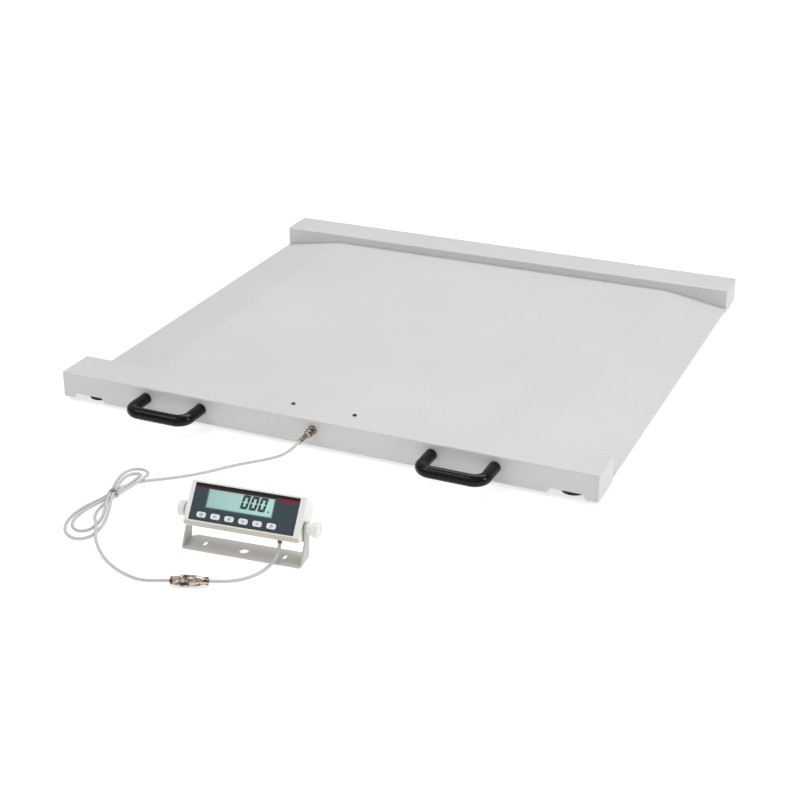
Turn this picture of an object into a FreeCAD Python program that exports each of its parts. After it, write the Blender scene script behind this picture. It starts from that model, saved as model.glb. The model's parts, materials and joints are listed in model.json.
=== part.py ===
import FreeCAD, Part
import math
import os
import re
import Sketcher
from FreeCAD import Placement, Rotation, Vector

# Low-profile platform shipping scale: a ramped weighing deck between two hollow curbs that
# stand on four load cells, and a tilting display on its own bracket, joined by a cable.
# Lengths are in millimetres. X runs from ramp to ramp, Y from the front curb to the rear
# curb, Z up from the floor.

DRIVING_SIZES = [
    # platform
    ("platform_length", 952, "ramp lip to ramp lip"),
    ("platform_depth", 914, "outer face of front curb to outer face of rear curb"),
    ("platform_y", 172, "platform centre, from the middle of the whole footprint"),
    ("curb_width", 76, "outer width of a curb"),
    ("curb_bottom", 7, "gap under a curb"),
    ("curb_top", 52, "height of a curb's top"),
    ("plate", 3, "steel sheet of deck and curbs"),
    ("bend", 3, "outside radius of folded steel"),
    ("deck_top", 34, "weighing surface"),
    ("ramp_run", 117.5, "length of each ramp"),
    ("lip_top", 14.5, "top of a ramp's outer lip"),
    ("rib_pitch", 150, "spacing of the pairs of ribs under the deck"),
    ("rib_width", 40, "over a pair of ribs"),
    ("rib_height", 22, "height of a rib"),
    ("gusset_height", 4, "foot height of a ramp gusset at its lip"),
    # feet and load cells
    ("foot_x", 426, "foot centres from the middle"),
    ("foot_y", 419, "foot centres from the middle"),
    ("foot_radius", 20, "sole of a foot"),
    ("foot_height", 9, "height of a foot's pad"),
    ("ball_radius", 5.5, "ball at the end of a foot's stem"),
    ("ball_height", 6, "centre of that ball above the floor"),
    ("stem_radius", 6, "threaded stem"),
    ("stem_top", 42, "end of the stem"),
    ("cell_length", 127, "load cell beam"),
    ("cell_side", 25.4, "square section of the beam"),
    ("cell_top", 45, "top of the beam"),
    ("cell_hole_inset", 12.7, "end holes from the beam's ends"),
    ("cell_hole_pitch", 25.4, "spacing of the two mounting bolts"),
    ("cell_bolt_radius", 4, "mounting bolts"),
    ("notch_bottom", 63.5, "foot notch at the curb's edge"),
    ("notch_top", 50.5, "foot notch at its top"),
    ("notch_height", 8.5, "foot notch"),
    # junction box and its cable gland
    ("box_length", 130, "junction box"),
    ("box_width", 46, "junction box"),
    ("box_height", 26, "junction box"),
    ("box_y", -419, "junction box centre"),
    ("box_wall", 2, "junction box wall"),
    ("top_screw_x", 55, "junction box screws from the middle"),
    ("top_screw_y", -415, "junction box screws"),
    ("lead_x", 110, "where the rear leads pass the curbs' inner walls"),
    ("lead_z", 20, "where the rear leads pass the curbs' inner walls"),
    ("gland_height", 34.5, "gland axis above the floor"),
    ("gland_nut_radius", 6.9, "dome nut of the gland"),
    ("sleeve_radius", 4, "strain relief sleeve"),
    ("sleeve_end", 46, "end of the sleeve from the curb's face"),
    # handles
    ("handle_x", 258, "handle centres from the middle"),
    ("handle_pitch", 105, "post spacing"),
    ("handle_reach", 55, "bar axis from the curb's face"),
    ("handle_height", 32.5, "bar axis above the floor"),
    ("handle_radius", 9.9, "bar"),
    ("handle_corner", 19, "bend radius of the bar's axis"),
    # transport wheels in the rear curb
    ("wheel_x", 250, "wheel centres from the middle"),
    ("wheel_radius", 20, "wheel"),
    ("wheel_width", 18, "wheel"),
    ("wheel_lift", 4, "wheel above the floor"),
    ("wheel_proud", 11, "wheel beyond the rear face"),
    ("axle_radius", 4, "wheel axle"),
    ("cheek_gap", 22, "between the two cheeks of a wheel bracket"),
    # display bracket
    ("display_x", 57.8, "bracket centre"),
    ("display_y", -783.8, "bracket centre"),
    ("display_yaw", 5.5, "degrees that the display is turned"),
    ("display_tilt", 39.3, "degrees that its face leans back"),
    ("bracket_width", 183, "over both arms"),
    ("bracket_depth", 40, "base strip"),
    ("bracket_steel", 2.5, "bracket sheet"),
    ("bend_radius", 4, "outside of the bracket's bends"),
    ("pivot_y", 8, "pivot axis behind the bracket's centre line"),
    ("pivot_height", 50, "pivot axis above the floor"),
    ("arm_radius", 9, "round head of an arm"),
    ("foot_front", -18, "front edge of an arm at its bend"),
    ("foot_back", 12, "rear edge of an arm at its bend"),
    ("arm_front", -1, "front edge of an arm at its waist"),
    ("arm_back", 15, "rear edge of an arm at its waist"),
    ("arm_waist", 30, "height of an arm's waist"),
    ("holes_x", -2, "middle of the row of mounting holes"),
    ("slot_x", 61, "mounting slots from the middle of the row"),
    ("slot_width", 6, "mounting slot"),
    ("slot_length", 14, "mounting slot"),
    ("access_radius", 7, "centre hole of the bracket"),
    # display housing: its own frame has the pivot axis at zero, Y into the housing and Z up its face
    ("case_width", 175, "housing"),
    ("case_front", -15.5, "front face"),
    ("case_seam", -6.5, "joint between the two shells"),
    ("case_rear", 22.5, "rear face"),
    ("case_bottom", -24, "lower edge of the front"),
    ("case_top", 41, "upper edge of the front"),
    ("case_rear_bottom", -15, "lower edge of the rear face"),
    ("case_rear_top", 37, "upper edge of the rear face"),
    ("case_wall", 2.5, "shell wall"),
    ("clip_width", 2.4, "slot that shows the clip between the shells"),
    ("clip_length", 7, "slot that shows the clip between the shells"),
    ("clip_y", -10.5, "slot in each side of the front shell"),
    ("clip_z", -5, "slot in each side of the front shell"),
    ("face_width", 159, "faceplate"),
    ("face_height", 54, "faceplate"),
    ("face_x", -1, "faceplate centre"),
    ("face_z", 10.5, "faceplate centre"),
    ("face_steel", 1.2, "faceplate thickness"),
    ("window_x", -8.6, "display window centre"),
    ("window_z", 17.4, "display window centre"),
    ("window_width", 99.5, "display window"),
    ("window_height", 26.5, "display window"),
    ("key_first_x", -62.2, "first key"),
    ("key_pitch", 21.3, "key spacing"),
    ("key_z", -7.7, "key row"),
    ("key_width", 14, "key cap"),
    ("key_height", 8, "key cap"),
    ("key_proud", 0.8, "key cap above the faceplate"),
    ("key_play", 0.2, "gap around a key cap"),
    ("screw_x", 76, "housing screws"),
    ("screw_top", 17, "upper housing screws"),
    ("screw_bottom", -9, "lower housing screws"),
    ("case_bevel", 5.5, "height of the bevel along the front's lower edge"),
    ("outlet_x", 54, "cable outlet in the housing's underside"),
    ("outlet_y", 4, "cable outlet in the housing's underside"),
    ("knob_radius", 11.4, "clamp knob"),
    ("knob_length", 10, "clamp knob"),
    ("hub_radius", 8, "clamp knob's hub against the arm"),
    ("left_hub", 1.3, "length of the left knob's hub"),
    ("right_hub", 7.8, "length of the right knob's hub"),
    ("stud_radius", 3, "clamp knob's stud"),
    # cable and connector
    ("cable_radius", 2.4, "cable"),
    ("connector_x", 7.5, "connector's platform end"),
    ("connector_y", -905, "connector's platform end"),
    ("connector_yaw", 21.7, "degrees that the connector is turned"),
    ("connector_length", 52.7, "connector"),
    ("ring_radius", 8.4, "coupling ring"),
    ("hank_height", 10, "bundled cable"),
    ("waist_width", 18, "bundled cable"),
    ("tie_band", 4, "cable tie"),
    ("tie_wall", 1.5, "cable tie"),
    ("tie_x", -205, "cable tie"),
    ("tie_y", -722, "cable tie"),
]

# Routes of the free cable: X, Y from the platform's centre, Z from the floor.
PLATFORM_CABLE = [
    (0, -503, 34.5),
    (-1.2, -514, 32.3),
    (-7, -524, 26.5),
    (-17, -531, 20),
    (-33, -535, 13.5),
    (-50, -539, 8),
    (-66, -546, 4.5),
    (-82, -558, 2.9),
    (-95, -573, 2.7),
    (-112, -597, 2.7),
    (-133, -620, 2.7),
    (-157, -641, 2.8),
    (-173.5, -653, 3.8),
    (-187, -665, 5),
]
CONNECTOR_CABLE = [
    (-164, -829, 5),
    (-154, -844, 3.4),
    (-137, -863, 2.7),
    (-116, -882, 2.7),
    (-90, -898, 2.7),
    (-62, -909, 2.7),
    (-36, -914, 3.6),
    (-16, -912.5, 6.5),
    (-3, -909.2, 8.4),
    (7.2, -905.12, 8.4),
]
DISPLAY_CABLE = [
    (112, -783.7, 23.4),
    (112.2, -786.7, 16),
    (112.2, -792.6, 10.2),
    (111.6, -800.8, 7.1),
    (110.4, -812.5, 5),
    (107.4, -825.5, 3.4),
    (102, -838.5, 2.9),
    (94.5, -851.5, 2.9),
    (85.3, -863.2, 3.9),
    (76.2, -873.6, 6.2),
    (67.6, -881.1, 8.4),
    (56.5, -885.5, 8.4),
]

doc = FreeCAD.newDocument("PlatformScale")
sheet = doc.addObject("Spreadsheet::Sheet", "Sizes")
for row, (alias, number, meaning) in enumerate(DRIVING_SIZES, start=1):
    sheet.set(f"A{row}", meaning)
    sheet.set(f"B{row}", str(number))
    sheet.setAlias(f"B{row}", alias)
doc.recompute()
ALIASES = {alias for alias, _, _ in DRIVING_SIZES}
SIDES = {"left": -1, "right": 1}
ENDS = {"front": -1, "rear": 1}
IN_PLATFORM = ("0", "platform_y", "0", "0", "0")
IN_BRACKET = ("display_x", "display_y + platform_y", "0", "display_yaw", "0")
IN_HOUSING = (
    "display_x - pivot_y * sin(display_yaw * 1 deg)",
    "display_y + platform_y + pivot_y * cos(display_yaw * 1 deg)",
    "pivot_height",
    "display_yaw",
    "-display_tilt",
)
UNDERSIDE_SLOPE = "((case_rear_bottom - case_bottom) / (case_rear - case_seam))"
UNDERSIDE_ANGLE = f"(atan({UNDERSIDE_SLOPE}) / 1 deg)"
OUTLET_Z = f"(case_bottom + (outlet_y - case_seam) * {UNDERSIDE_SLOPE})"
IN_CONNECTOR = ("connector_x", "connector_y + platform_y", "ring_radius", "connector_yaw", "0")
sub_parts = []


# ---------------------------------------------------------------- sheet and expressions
def size(alias):
    return float(sheet.get(alias))


def bound(text):
    """A formula in the sheet's aliases, as an expression of the document."""
    return re.sub(r"[a-z_]+", lambda m: f"Sizes.{m[0]}" if m[0] in ALIASES else m[0], str(text))


def bind(obj, **formulas):
    for name, text in formulas.items():
        obj.setExpression(name, bound(text))
    return obj


def move(obj, corner):
    for letter, text in zip("xyz", corner):
        obj.setExpression(f".Placement.Base.{letter}", bound(text))
    return obj


def deliver(obj, label, frame=IN_PLATFORM, pitch=0):
    """Label a finished sub-part and place it in the object's frame."""
    x, y, z, yaw, roll = frame
    turn = f"rotation({bound(yaw)}; {pitch}; {bound(roll)})"
    obj.setExpression("Placement", f"placement(vector({bound(x)}; {bound(y)}; {bound(z)}); {turn})")
    obj.Label = label
    sub_parts.append(obj)
    return obj


# ---------------------------------------------------------------- Part primitives and booleans
AXIS_TURN = {
    "X": Rotation(Vector(0, 1, 0), 90),
    "Y": Rotation(Vector(1, 0, 0), -90),
    "Z": Rotation(),
}
AXIS_STEP = {"X": (1, 0, 0), "Y": (0, 1, 0), "Z": (0, 0, 1)}


def box(name, extent, corner):
    obj = doc.addObject("Part::Box", name)
    bind(obj, Length=extent[0], Width=extent[1], Height=extent[2])
    return move(obj, corner)


def centred_box(name, extent, centre):
    corner = [f"{c} - ({e}) / 2" for c, e in zip(centre, extent)]
    return box(name, extent, corner)


def cylinder(name, radius, length, start, axis="Z"):
    obj = doc.addObject("Part::Cylinder", name)
    bind(obj, Radius=radius, Height=length)
    obj.Placement = Placement(Vector(), AXIS_TURN[axis])
    return move(obj, start)


def cone(name, radius_1, radius_2, length, start, axis="Z"):
    obj = doc.addObject("Part::Cone", name)
    bind(obj, Radius1=radius_1, Radius2=radius_2, Height=length)
    obj.Placement = Placement(Vector(), AXIS_TURN[axis])
    return move(obj, start)


def hexagon(name, across_flats, length, start, axis="Z"):
    obj = doc.addObject("Part::Prism", name)
    bind(obj, Circumradius=f"({across_flats}) / 2 / cos(30 deg)", Height=length)
    obj.Placement = Placement(Vector(), AXIS_TURN[axis])
    return move(obj, start)


def sphere(name, radius, centre):
    return move(bind(doc.addObject("Part::Sphere", name), Radius=radius), centre)


def cut(name, base, tools):
    tool = tools[0] if len(tools) == 1 else fuse(name + "Tools", tools)
    obj = doc.addObject("Part::Cut", name)
    obj.Base = base
    obj.Tool = tool
    return obj


def fuse(name, shapes):
    obj = doc.addObject("Part::MultiFuse", name)
    obj.Shapes = shapes
    obj.Refine = True
    return obj


def group(name, shapes):
    """Identical or matching pieces that share one node, as separate solids."""
    obj = doc.addObject("Part::Compound", name)
    obj.Links = shapes
    return obj


def round_edges(name, base, radius, wanted):
    """Round the edges whose middle point and direction the test accepts."""
    doc.recompute()
    obj = doc.addObject("Part::Fillet", name)
    obj.Base = base
    obj.Edges = [
        (number, size(radius), size(radius))
        for number, edge in enumerate(base.Shape.Edges, start=1)
        if wanted(edge.CenterOfMass, edge_direction(edge))
    ]
    return obj


def edge_direction(edge):
    first, last = edge.Vertexes[0].Point, edge.Vertexes[-1].Point
    run = last - first
    return run.normalize() if run.Length > 1e-6 else Vector()


# ---------------------------------------------------------------- sketches
PLANE_TURN = {
    "XY": Rotation(),
    "XZ": Rotation(Vector(1, 0, 0), 90),
    "YZ": Rotation(Vector(1, 1, 1), 120),
}
PLANE_NORMAL = {"XY": "Z", "XZ": "Y", "YZ": "X"}


def draw_outline(sketch, points):
    """A closed polygon whose corners are formulas in the sheet's aliases."""
    first = sketch.GeometryCount
    count = len(points)
    rough = [Vector(10 * math.cos(2 * math.pi * i / count), 10 * math.sin(2 * math.pi * i / count), 0)
             for i in range(count)]
    for i in range(count):
        sketch.addGeometry(Part.LineSegment(rough[i], rough[(i + 1) % count]), False)
    for i in range(count):
        sketch.addConstraint(Sketcher.Constraint("Coincident", first + i, 2, first + (i + 1) % count, 1))
    for i, (across, along) in enumerate(points):
        for kind, text in (("DistanceX", across), ("DistanceY", along)):
            start = getattr(rough[i], "x" if kind == "DistanceX" else "y")
            index = sketch.addConstraint(Sketcher.Constraint(kind, -1, 1, first + i, 1, start))
            sketch.setExpression(f"Constraints[{index}]", bound(text))


def draw_circle(sketch, across, along, radius):
    index = sketch.addGeometry(Part.Circle(Vector(1, 1, 0), Vector(0, 0, 1), 1), False)
    for kind, text in (("DistanceX", across), ("DistanceY", along)):
        number = sketch.addConstraint(Sketcher.Constraint(kind, -1, 1, index, 3, 1.0))
        sketch.setExpression(f"Constraints[{number}]", bound(text))
    number = sketch.addConstraint(Sketcher.Constraint("Radius", index, 1.0))
    sketch.setExpression(f"Constraints[{number}]", bound(radius))


def prism(name, plane, points, length, start):
    """An outline in one plane, extruded from start along the third axis."""
    sketch = doc.addObject("Sketcher::SketchObject", name + "Outline")
    sketch.Placement = Placement(Vector(), PLANE_TURN[plane])
    draw_outline(sketch, points)
    axis = PLANE_NORMAL[plane]
    sketch.setExpression(f".Placement.Base.{axis.lower()}", bound(start))
    obj = doc.addObject("Part::Extrusion", name)
    obj.Base = sketch
    obj.DirMode = "Custom"
    obj.Dir = Vector(*AXIS_STEP[axis])
    obj.Solid = True
    return bind(obj, LengthFwd=length)


# ---------------------------------------------------------------- PartDesign bodies
def new_body(name):
    return doc.addObject("PartDesign::Body", name)


def sketch_on(body, role, name, offset="0"):
    sketch = body.newObject("Sketcher::SketchObject", name)
    plane = next(f for f in body.Origin.OriginFeatures if f.Role == role)
    sketch.AttachmentSupport = [(plane, "")]
    sketch.MapMode = "FlatFace"
    sketch.setExpression(".AttachmentOffset.Base.z", bound(offset))
    return sketch


def pad(body, sketch, length, symmetric=False, reverse=False):
    obj = body.newObject("PartDesign::Pad", sketch.Name + "Pad")
    obj.Profile = sketch
    obj.SideType = "Symmetric" if symmetric else "One side"
    obj.Reversed = reverse
    bind(obj, Length=length)
    sketch.Visibility = False
    return obj


def pocket(body, sketch, length, symmetric=False, reverse=False):
    """Cut a sketch out of a body, and make sure that it removes material."""
    doc.recompute()
    before = body.Shape.Volume
    obj = body.newObject("PartDesign::Pocket", sketch.Name + "Pocket")
    obj.Profile = sketch
    obj.SideType = "Symmetric" if symmetric else "One side"
    obj.Reversed = reverse
    bind(obj, Length=length)
    doc.recompute()
    if body.Shape.Volume > before - 1e-3:
        raise RuntimeError(f"{obj.Name} removes nothing")
    return obj


def revolve(body, sketch):
    obj = body.newObject("PartDesign::Revolution", sketch.Name + "Turn")
    obj.Profile = sketch
    obj.ReferenceAxis = (sketch, ["V_Axis"])
    obj.Angle = 360
    return obj


def round_body(body, radius, wanted):
    doc.recompute()
    names = [
        f"Edge{number}"
        for number, edge in enumerate(body.Shape.Edges, start=1)
        if wanted(edge.CenterOfMass, edge_direction(edge))
    ]
    base = body.Tip
    obj = body.newObject("PartDesign::Fillet", "Round")
    obj.Base = (base, names)
    bind(obj, Radius=radius)
    return obj


def repeat_around(body, feature, count, role="Z_Axis"):
    axis = next(f for f in body.Origin.OriginFeatures if f.Role == role)
    obj = body.newObject("PartDesign::PolarPattern", feature.Name + "Around")
    obj.Originals = [feature]
    obj.Axis = (axis, [""])
    obj.Angle = 360
    obj.Occurrences = count
    body.Tip = obj
    return obj


def turned(name, profile):
    """A body turned about its own Z axis from an outline of radius and height."""
    body = new_body(name)
    sketch = sketch_on(body, "XZ_Plane", name + "Profile")
    draw_outline(sketch, profile)
    revolve(body, sketch)
    return body


# ---------------------------------------------------------------- platform
def make_deck():
    """One folded sheet: the weighing deck and the two ramps that run down from it."""
    deck = new_body("Deck")
    outline = sketch_on(deck, "XZ_Plane", "DeckProfile")
    crease = "(platform_length / 2 - ramp_run)"
    end = "platform_length / 2"
    draw_outline(outline, [
        (f"-{end}", "lip_top"),
        (f"-{crease}", "deck_top"),
        (crease, "deck_top"),
        (end, "lip_top"),
        (end, "lip_top - plate"),
        (crease, "deck_top - plate"),
        (f"-{crease}", "deck_top - plate"),
        (f"-{end}", "lip_top - plate"),
    ])
    pad(deck, outline, "platform_depth - 2 * curb_width", symmetric=True)
    deliver(deck, "deck_plate")


def make_ribs():
    """Flat bars on edge across the deck, in pairs, and gussets under each ramp."""
    pieces = []
    span = "(platform_depth - 2 * curb_width)"
    for number in range(-2, 3):
        for side in SIDES.values():
            x = f"({number} * rib_pitch + {side} * (rib_width - plate) / 2)"
            pieces.append(box("Rib", ("plate", span, "rib_height"),
                              (f"{x} - plate / 2", f"-{span} / 2", "deck_top - plate - rib_height")))
    crease = "(platform_length / 2 - ramp_run)"
    for side in SIDES.values():
        for number in range(-2, 3):
            tip = "(platform_length / 2 - 4)"
            drop = "(deck_top - lip_top) * 4 / ramp_run"
            pieces.append(prism("Gusset", "XZ", [
                (f"{side} * {crease}", "deck_top - plate"),
                (f"{side} * {tip}", f"lip_top - plate + {drop}"),
                (f"{side} * {tip}", "lip_top - plate - gusset_height"),
                (f"{side} * {crease}", "lip_top - plate - gusset_height"),
            ], "plate", f"{number} * rib_pitch - plate / 2"))
    deliver(group("Ribs", pieces), "deck_ribs")


def curb_outer_y(end):
    return "-platform_depth / 2" if end < 0 else "platform_depth / 2 - curb_width"


def curb_block(name, end, length, x):
    """A length of a curb's outer shape, with its two top bends rounded."""
    block = box(name, (length, "curb_width", "curb_top - curb_bottom"), (x, curb_outer_y(end), "curb_bottom"))
    return round_edges(name + "Bends", block, "bend",
                       lambda middle, way: abs(way.x) > 0.99 and middle.z > size("curb_top") - 1)


def curb_shell(name, end):
    """A curb folded from one sheet, open underneath, with a notch over each foot, and the tools that cut it."""
    shell = curb_block(name + "Outer", end, "platform_length - 2 * plate", "-platform_length / 2 + plate")
    hollow = box(name + "Hollow",
                 ("platform_length", "curb_width - 2 * plate", "curb_top - curb_bottom"),
                 ("-platform_length / 2", f"{curb_outer_y(end)} + plate", "curb_bottom - plate"))
    face = "-platform_depth / 2 - 1" if end < 0 else "platform_depth / 2 - plate - 1"
    tools = [hollow]
    for side in SIDES.values():
        x = f"({side} * foot_x)"
        tools.append(prism(name + "Notch", "XZ", [
            (f"{x} - notch_bottom / 2", "curb_bottom - 1"),
            (f"{x} + notch_bottom / 2", "curb_bottom - 1"),
            (f"{x} + notch_top / 2", "curb_bottom + notch_height"),
            (f"{x} - notch_top / 2", "curb_bottom + notch_height"),
        ], "plate + 2", face))
    return shell, tools


def make_curb_ends():
    """The plates welded in to close both ends of each curb."""
    plates = []
    for end in ENDS.values():
        for side in SIDES.values():
            x = "platform_length / 2 - plate" if side > 0 else "-platform_length / 2"
            plates.append(curb_block("CurbEnd", end, "plate", x))
    deliver(group("CurbEnds", plates), "curb_ends")


def make_front_curb():
    shell, tools = curb_shell("FrontCurb", ENDS["front"])
    face = "-platform_depth / 2 - 1"
    tools.append(cylinder("GlandHole", "6.3", "plate + 2", ("0", face, "gland_height"), "Y"))
    for side in SIDES.values():
        for post in (-1, 1):
            x = f"{side} * handle_x + {post} * handle_pitch / 2"
            tools.append(cylinder("HandleHole", "3.2", "plate + 2", (x, face, "handle_height"), "Y"))
        tools.append(cylinder("TopHole", "2.2", "plate + 2",
                              (f"{side} * top_screw_x", "top_screw_y", "curb_top - plate - 1")))
        tools.append(lead_hole(side, "-platform_depth / 2 + curb_width - plate - 1"))
    deliver(cut("FrontCurb", shell, tools), "front_curb")


def make_rear_curb():
    shell, tools = curb_shell("RearCurb", ENDS["rear"])
    for side in SIDES.values():
        tools.append(box("WheelSlot", ("cheek_gap", "plate + 2", "wheel_lift + 2 * wheel_radius + 3"),
                         (f"{side} * wheel_x - cheek_gap / 2", "platform_depth / 2 - plate - 1", "0")))
        tools.append(lead_hole(side, "platform_depth / 2 - curb_width - 1"))
    deliver(cut("RearCurb", shell, tools), "rear_curb")


def lead_hole(side, y):
    return cylinder("LeadHole", "5", "plate + 2", (f"{side} * lead_x", y, "lead_z"), "Y")


# ---------------------------------------------------------------- load cells and feet
def corner_frame(side, end):
    return f"({side} * foot_x)", f"({end} * foot_y)"


def make_load_cells():
    """Four beams bolted to the curb at one end, each standing on a foot at the other."""
    spacers, fasteners = [], []
    for end_name, end in ENDS.items():
        for side_name, side in SIDES.items():
            foot, y = corner_frame(side, end)
            tip = f"({side} * (foot_x + cell_hole_inset))"
            middle = f"{tip} - {side} * cell_length / 2"
            bottom = "(cell_top - cell_side)"
            inner_bolt = f"({tip} - {side} * (cell_length - cell_hole_inset))"
            outer_bolt = f"({inner_bolt} + {side} * cell_hole_pitch)"
            beam = centred_box("Beam", ("cell_length", "cell_side", "cell_side"),
                               (middle, y, "cell_top - cell_side / 2"))
            nipple = cylinder("LeadNipple", "4", "6",
                              (f"{tip} - {side} * cell_length - {6 if side > 0 else 0}", y,
                               "cell_top - cell_side / 2"), "X")
            tools = [
                cylinder("FootThread", "stem_radius + 0.05", "cell_side + 2", (foot, y, f"{bottom} - 1")),
                cylinder("GaugePocket", "8.5", "cell_side * 0.35",
                         (f"{middle} + {side} * 8", f"{y} - cell_side / 2", "cell_top - cell_side / 2"), "Y"),
                cylinder("GaugePocket", "8.5", "cell_side * 0.35",
                         (f"{middle} + {side} * 8", f"{y} + cell_side * 0.15", "cell_top - cell_side / 2"), "Y"),
            ]
            spacer = centred_box("Spacer", ("52", "30", "curb_top - plate - cell_top"),
                                 (f"({inner_bolt} + {outer_bolt}) / 2", y, "(curb_top - plate + cell_top) / 2"))
            spacer_tools = []
            for bolt_x in (inner_bolt, outer_bolt):
                tools.append(cylinder("BoltHole", "cell_bolt_radius + 0.5", "cell_side + 2",
                                      (bolt_x, y, f"{bottom} - 1")))
                spacer_tools.append(cylinder("BoltThread", "cell_bolt_radius + 0.05", "8",
                                             (bolt_x, y, "cell_top - 2")))
                fasteners.append(socket_screw(bolt_x, y, bottom))
            fasteners.append(cut("JamNut",
                                 hexagon("JamNutHex", "18", "6", (foot, y, f"{bottom} - 6")),
                                 [cylinder("JamNutBore", "stem_radius + 0.05", "8", (foot, y, f"{bottom} - 7"))]))
            spacers.append(cut("CellSpacer", spacer, spacer_tools))
            deliver(cut("LoadCell", fuse("BeamBody", [beam, nipple]), tools),
                    f"load_cell_{end_name}_{side_name}")
    deliver(group("CellSpacers", spacers), "cell_spacers")
    deliver(group("CellFasteners", fasteners), "cell_fasteners")


def socket_screw(x, y, head_top):
    """A socket-head bolt put in from below, up through the beam into its spacer."""
    head = cylinder("BoltHead", "6.5", "8", (x, y, f"{head_top} - 8"))
    shank = cylinder("BoltShank", "cell_bolt_radius", "curb_top - plate - 0.5 - cell_top + cell_side",
                     (x, y, head_top))
    socket = hexagon("BoltSocket", "6", "5", (x, y, f"{head_top} - 9"))
    return cut("CellBolt", fuse("BoltBody", [head, shank]), [socket])


def make_feet():
    """A rubber pad with a socket, and a threaded stem whose ball turns in it."""
    for end_name, end in ENDS.items():
        for side_name, side in SIDES.items():
            x, y = corner_frame(side, end)
            pad_body = turned("FootPad", [
                ("0", "0"),
                ("foot_radius", "0"),
                ("foot_radius", "3.5"),
                ("foot_radius - 1", "4.5"),
                ("11", "foot_height"),
                ("0", "foot_height"),
            ])
            socket = sphere("BallSocket", "ball_radius + 0.05", ("0", "0", "ball_height"))
            pad_shape = cut("FootPadCut", pad_body, [socket])
            frame = (x, f"{y} + platform_y", "0", "0", "0")
            deliver(pad_shape, f"foot_pad_{end_name}_{side_name}", frame)
            ball = sphere("Ball", "ball_radius", ("0", "0", "ball_height"))
            neck = cylinder("Neck", "3.3", "foot_height + 1 - ball_height", ("0", "0", "ball_height"))
            flats = hexagon("WrenchFlats", "15", "3", ("0", "0", "foot_height + 1"))
            shank = cylinder("Shank", "stem_radius", "stem_top - 1 - foot_height - 4",
                             ("0", "0", "foot_height + 4"))
            point = cone("ShankPoint", "stem_radius", "stem_radius - 1", "1", ("0", "0", "stem_top - 1"))
            stem = fuse("FootStem", [ball, neck, flats, shank, point])
            deliver(stem, f"foot_stem_{end_name}_{side_name}", frame)


# ---------------------------------------------------------------- junction box and leads
def make_junction_box():
    """A box under the front curb's top where the four cells' leads meet the outgoing cable."""
    top = "(curb_top - plate)"
    floor = f"({top} - box_height)"
    outer = centred_box("BoxOuter", ("box_length", "box_width", "box_height"),
                        ("0", "box_y", f"{top} - box_height / 2"))
    inner = centred_box("BoxInner",
                        ("box_length - 2 * box_wall", "box_width - 2 * box_wall", "box_height"),
                        ("0", "box_y", f"{top} - box_height / 2 - box_wall"))
    shell = cut("BoxShell", outer, [inner])
    bosses, holes, screws = [], [], []
    for side in SIDES.values():
        x = f"({side} * top_screw_x)"
        bosses.append(cylinder("TopBoss", "5", "box_height - 4", (x, "top_screw_y", f"{floor} + 4")))
        holes.append(cylinder("TopBossBore", "2.05", "box_height", (x, "top_screw_y", f"{floor} + 3")))
        head = cylinder("PanHead", "3.3", "1.8", (x, "top_screw_y", "curb_top"))
        shank = cylinder("PanShank", "2", "20", (x, "top_screw_y", "curb_top - 20"))
        recess = hexagon("PanRecess", "2.5", "1.4", (x, "top_screw_y", "curb_top + 0.9"))
        screws.append(cut("TopScrew", fuse("TopScrewBody", [head, shank]), [recess]))
        holes.append(cylinder("SideLeadHole", "cable_radius + 0.05", "box_wall + 2",
                              (f"{side} * (box_length - box_wall) / 2 - box_wall / 2 - 1", "box_y",
                               "gland_height"), "X"))
        holes.append(cylinder("RearLeadHole", "cable_radius + 0.05", "box_wall + 2",
                              (f"{side} * (box_length - box_wall) / 2 - box_wall / 2 - 1", "box_y + 10",
                               "gland_height"), "X"))
        for row in (-1, 1):
            post_x = f"({side} * (box_length / 2 - 5))"
            post_y = f"(box_y + {row} * (box_width / 2 - 5))"
            bosses.append(cylinder("LidPost", "3.5", "box_height", (post_x, post_y, floor)))
            holes.append(cylinder("LidPostBore", "1.55", "12", (post_x, post_y, f"{floor} - 1")))
            lid_head = cylinder("LidScrewHead", "2.8", "2", (post_x, post_y, f"{floor} - box_wall - 2"))
            lid_shank = cylinder("LidScrewShank", "1.5", "10", (post_x, post_y, f"{floor} - box_wall"))
            screws.append(fuse("LidScrew", [lid_head, lid_shank]))
    holes.append(cylinder("OutletHole", "cable_radius + 0.05", "box_wall + 2",
                          ("0", "box_y - box_width / 2 - 1", "gland_height"), "Y"))
    deliver(cut("JunctionBox", fuse("BoxWithPosts", [shell] + bosses), holes), "junction_box")
    lid = centred_box("LidPlate", ("box_length", "box_width", "box_wall"),
                      ("0", "box_y", f"{floor} - box_wall / 2"))
    lid_holes = [cylinder("LidHole", "1.8", "box_wall + 2",
                          (f"{side} * (box_length / 2 - 5)", f"box_y + {row} * (box_width / 2 - 5)",
                           f"{floor} - box_wall - 1"))
                 for side in SIDES.values() for row in (-1, 1)]
    deliver(cut("JunctionLid", lid, lid_holes), "junction_lid")
    deliver(group("JunctionScrews", screws), "junction_screws")
    board = centred_box("BoxBoard", ("90", "34", "1.6"), ("0", "box_y", f"{top} - 4"))
    blocks = [centred_box("TerminalBlock", ("14", "10", "8"),
                          (f"{number} * 18", "box_y + 8", f"{top} - 8.8")) for number in range(-2, 3)]
    trims = [centred_box("TrimPot", ("7", "7", "5"),
                         (f"{number} * 18", "box_y - 9", f"{top} - 7.3")) for number in (-2, -1, 1, 2)]
    deliver(fuse("JunctionBoard", [board] + blocks + trims), "junction_board")


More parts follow.
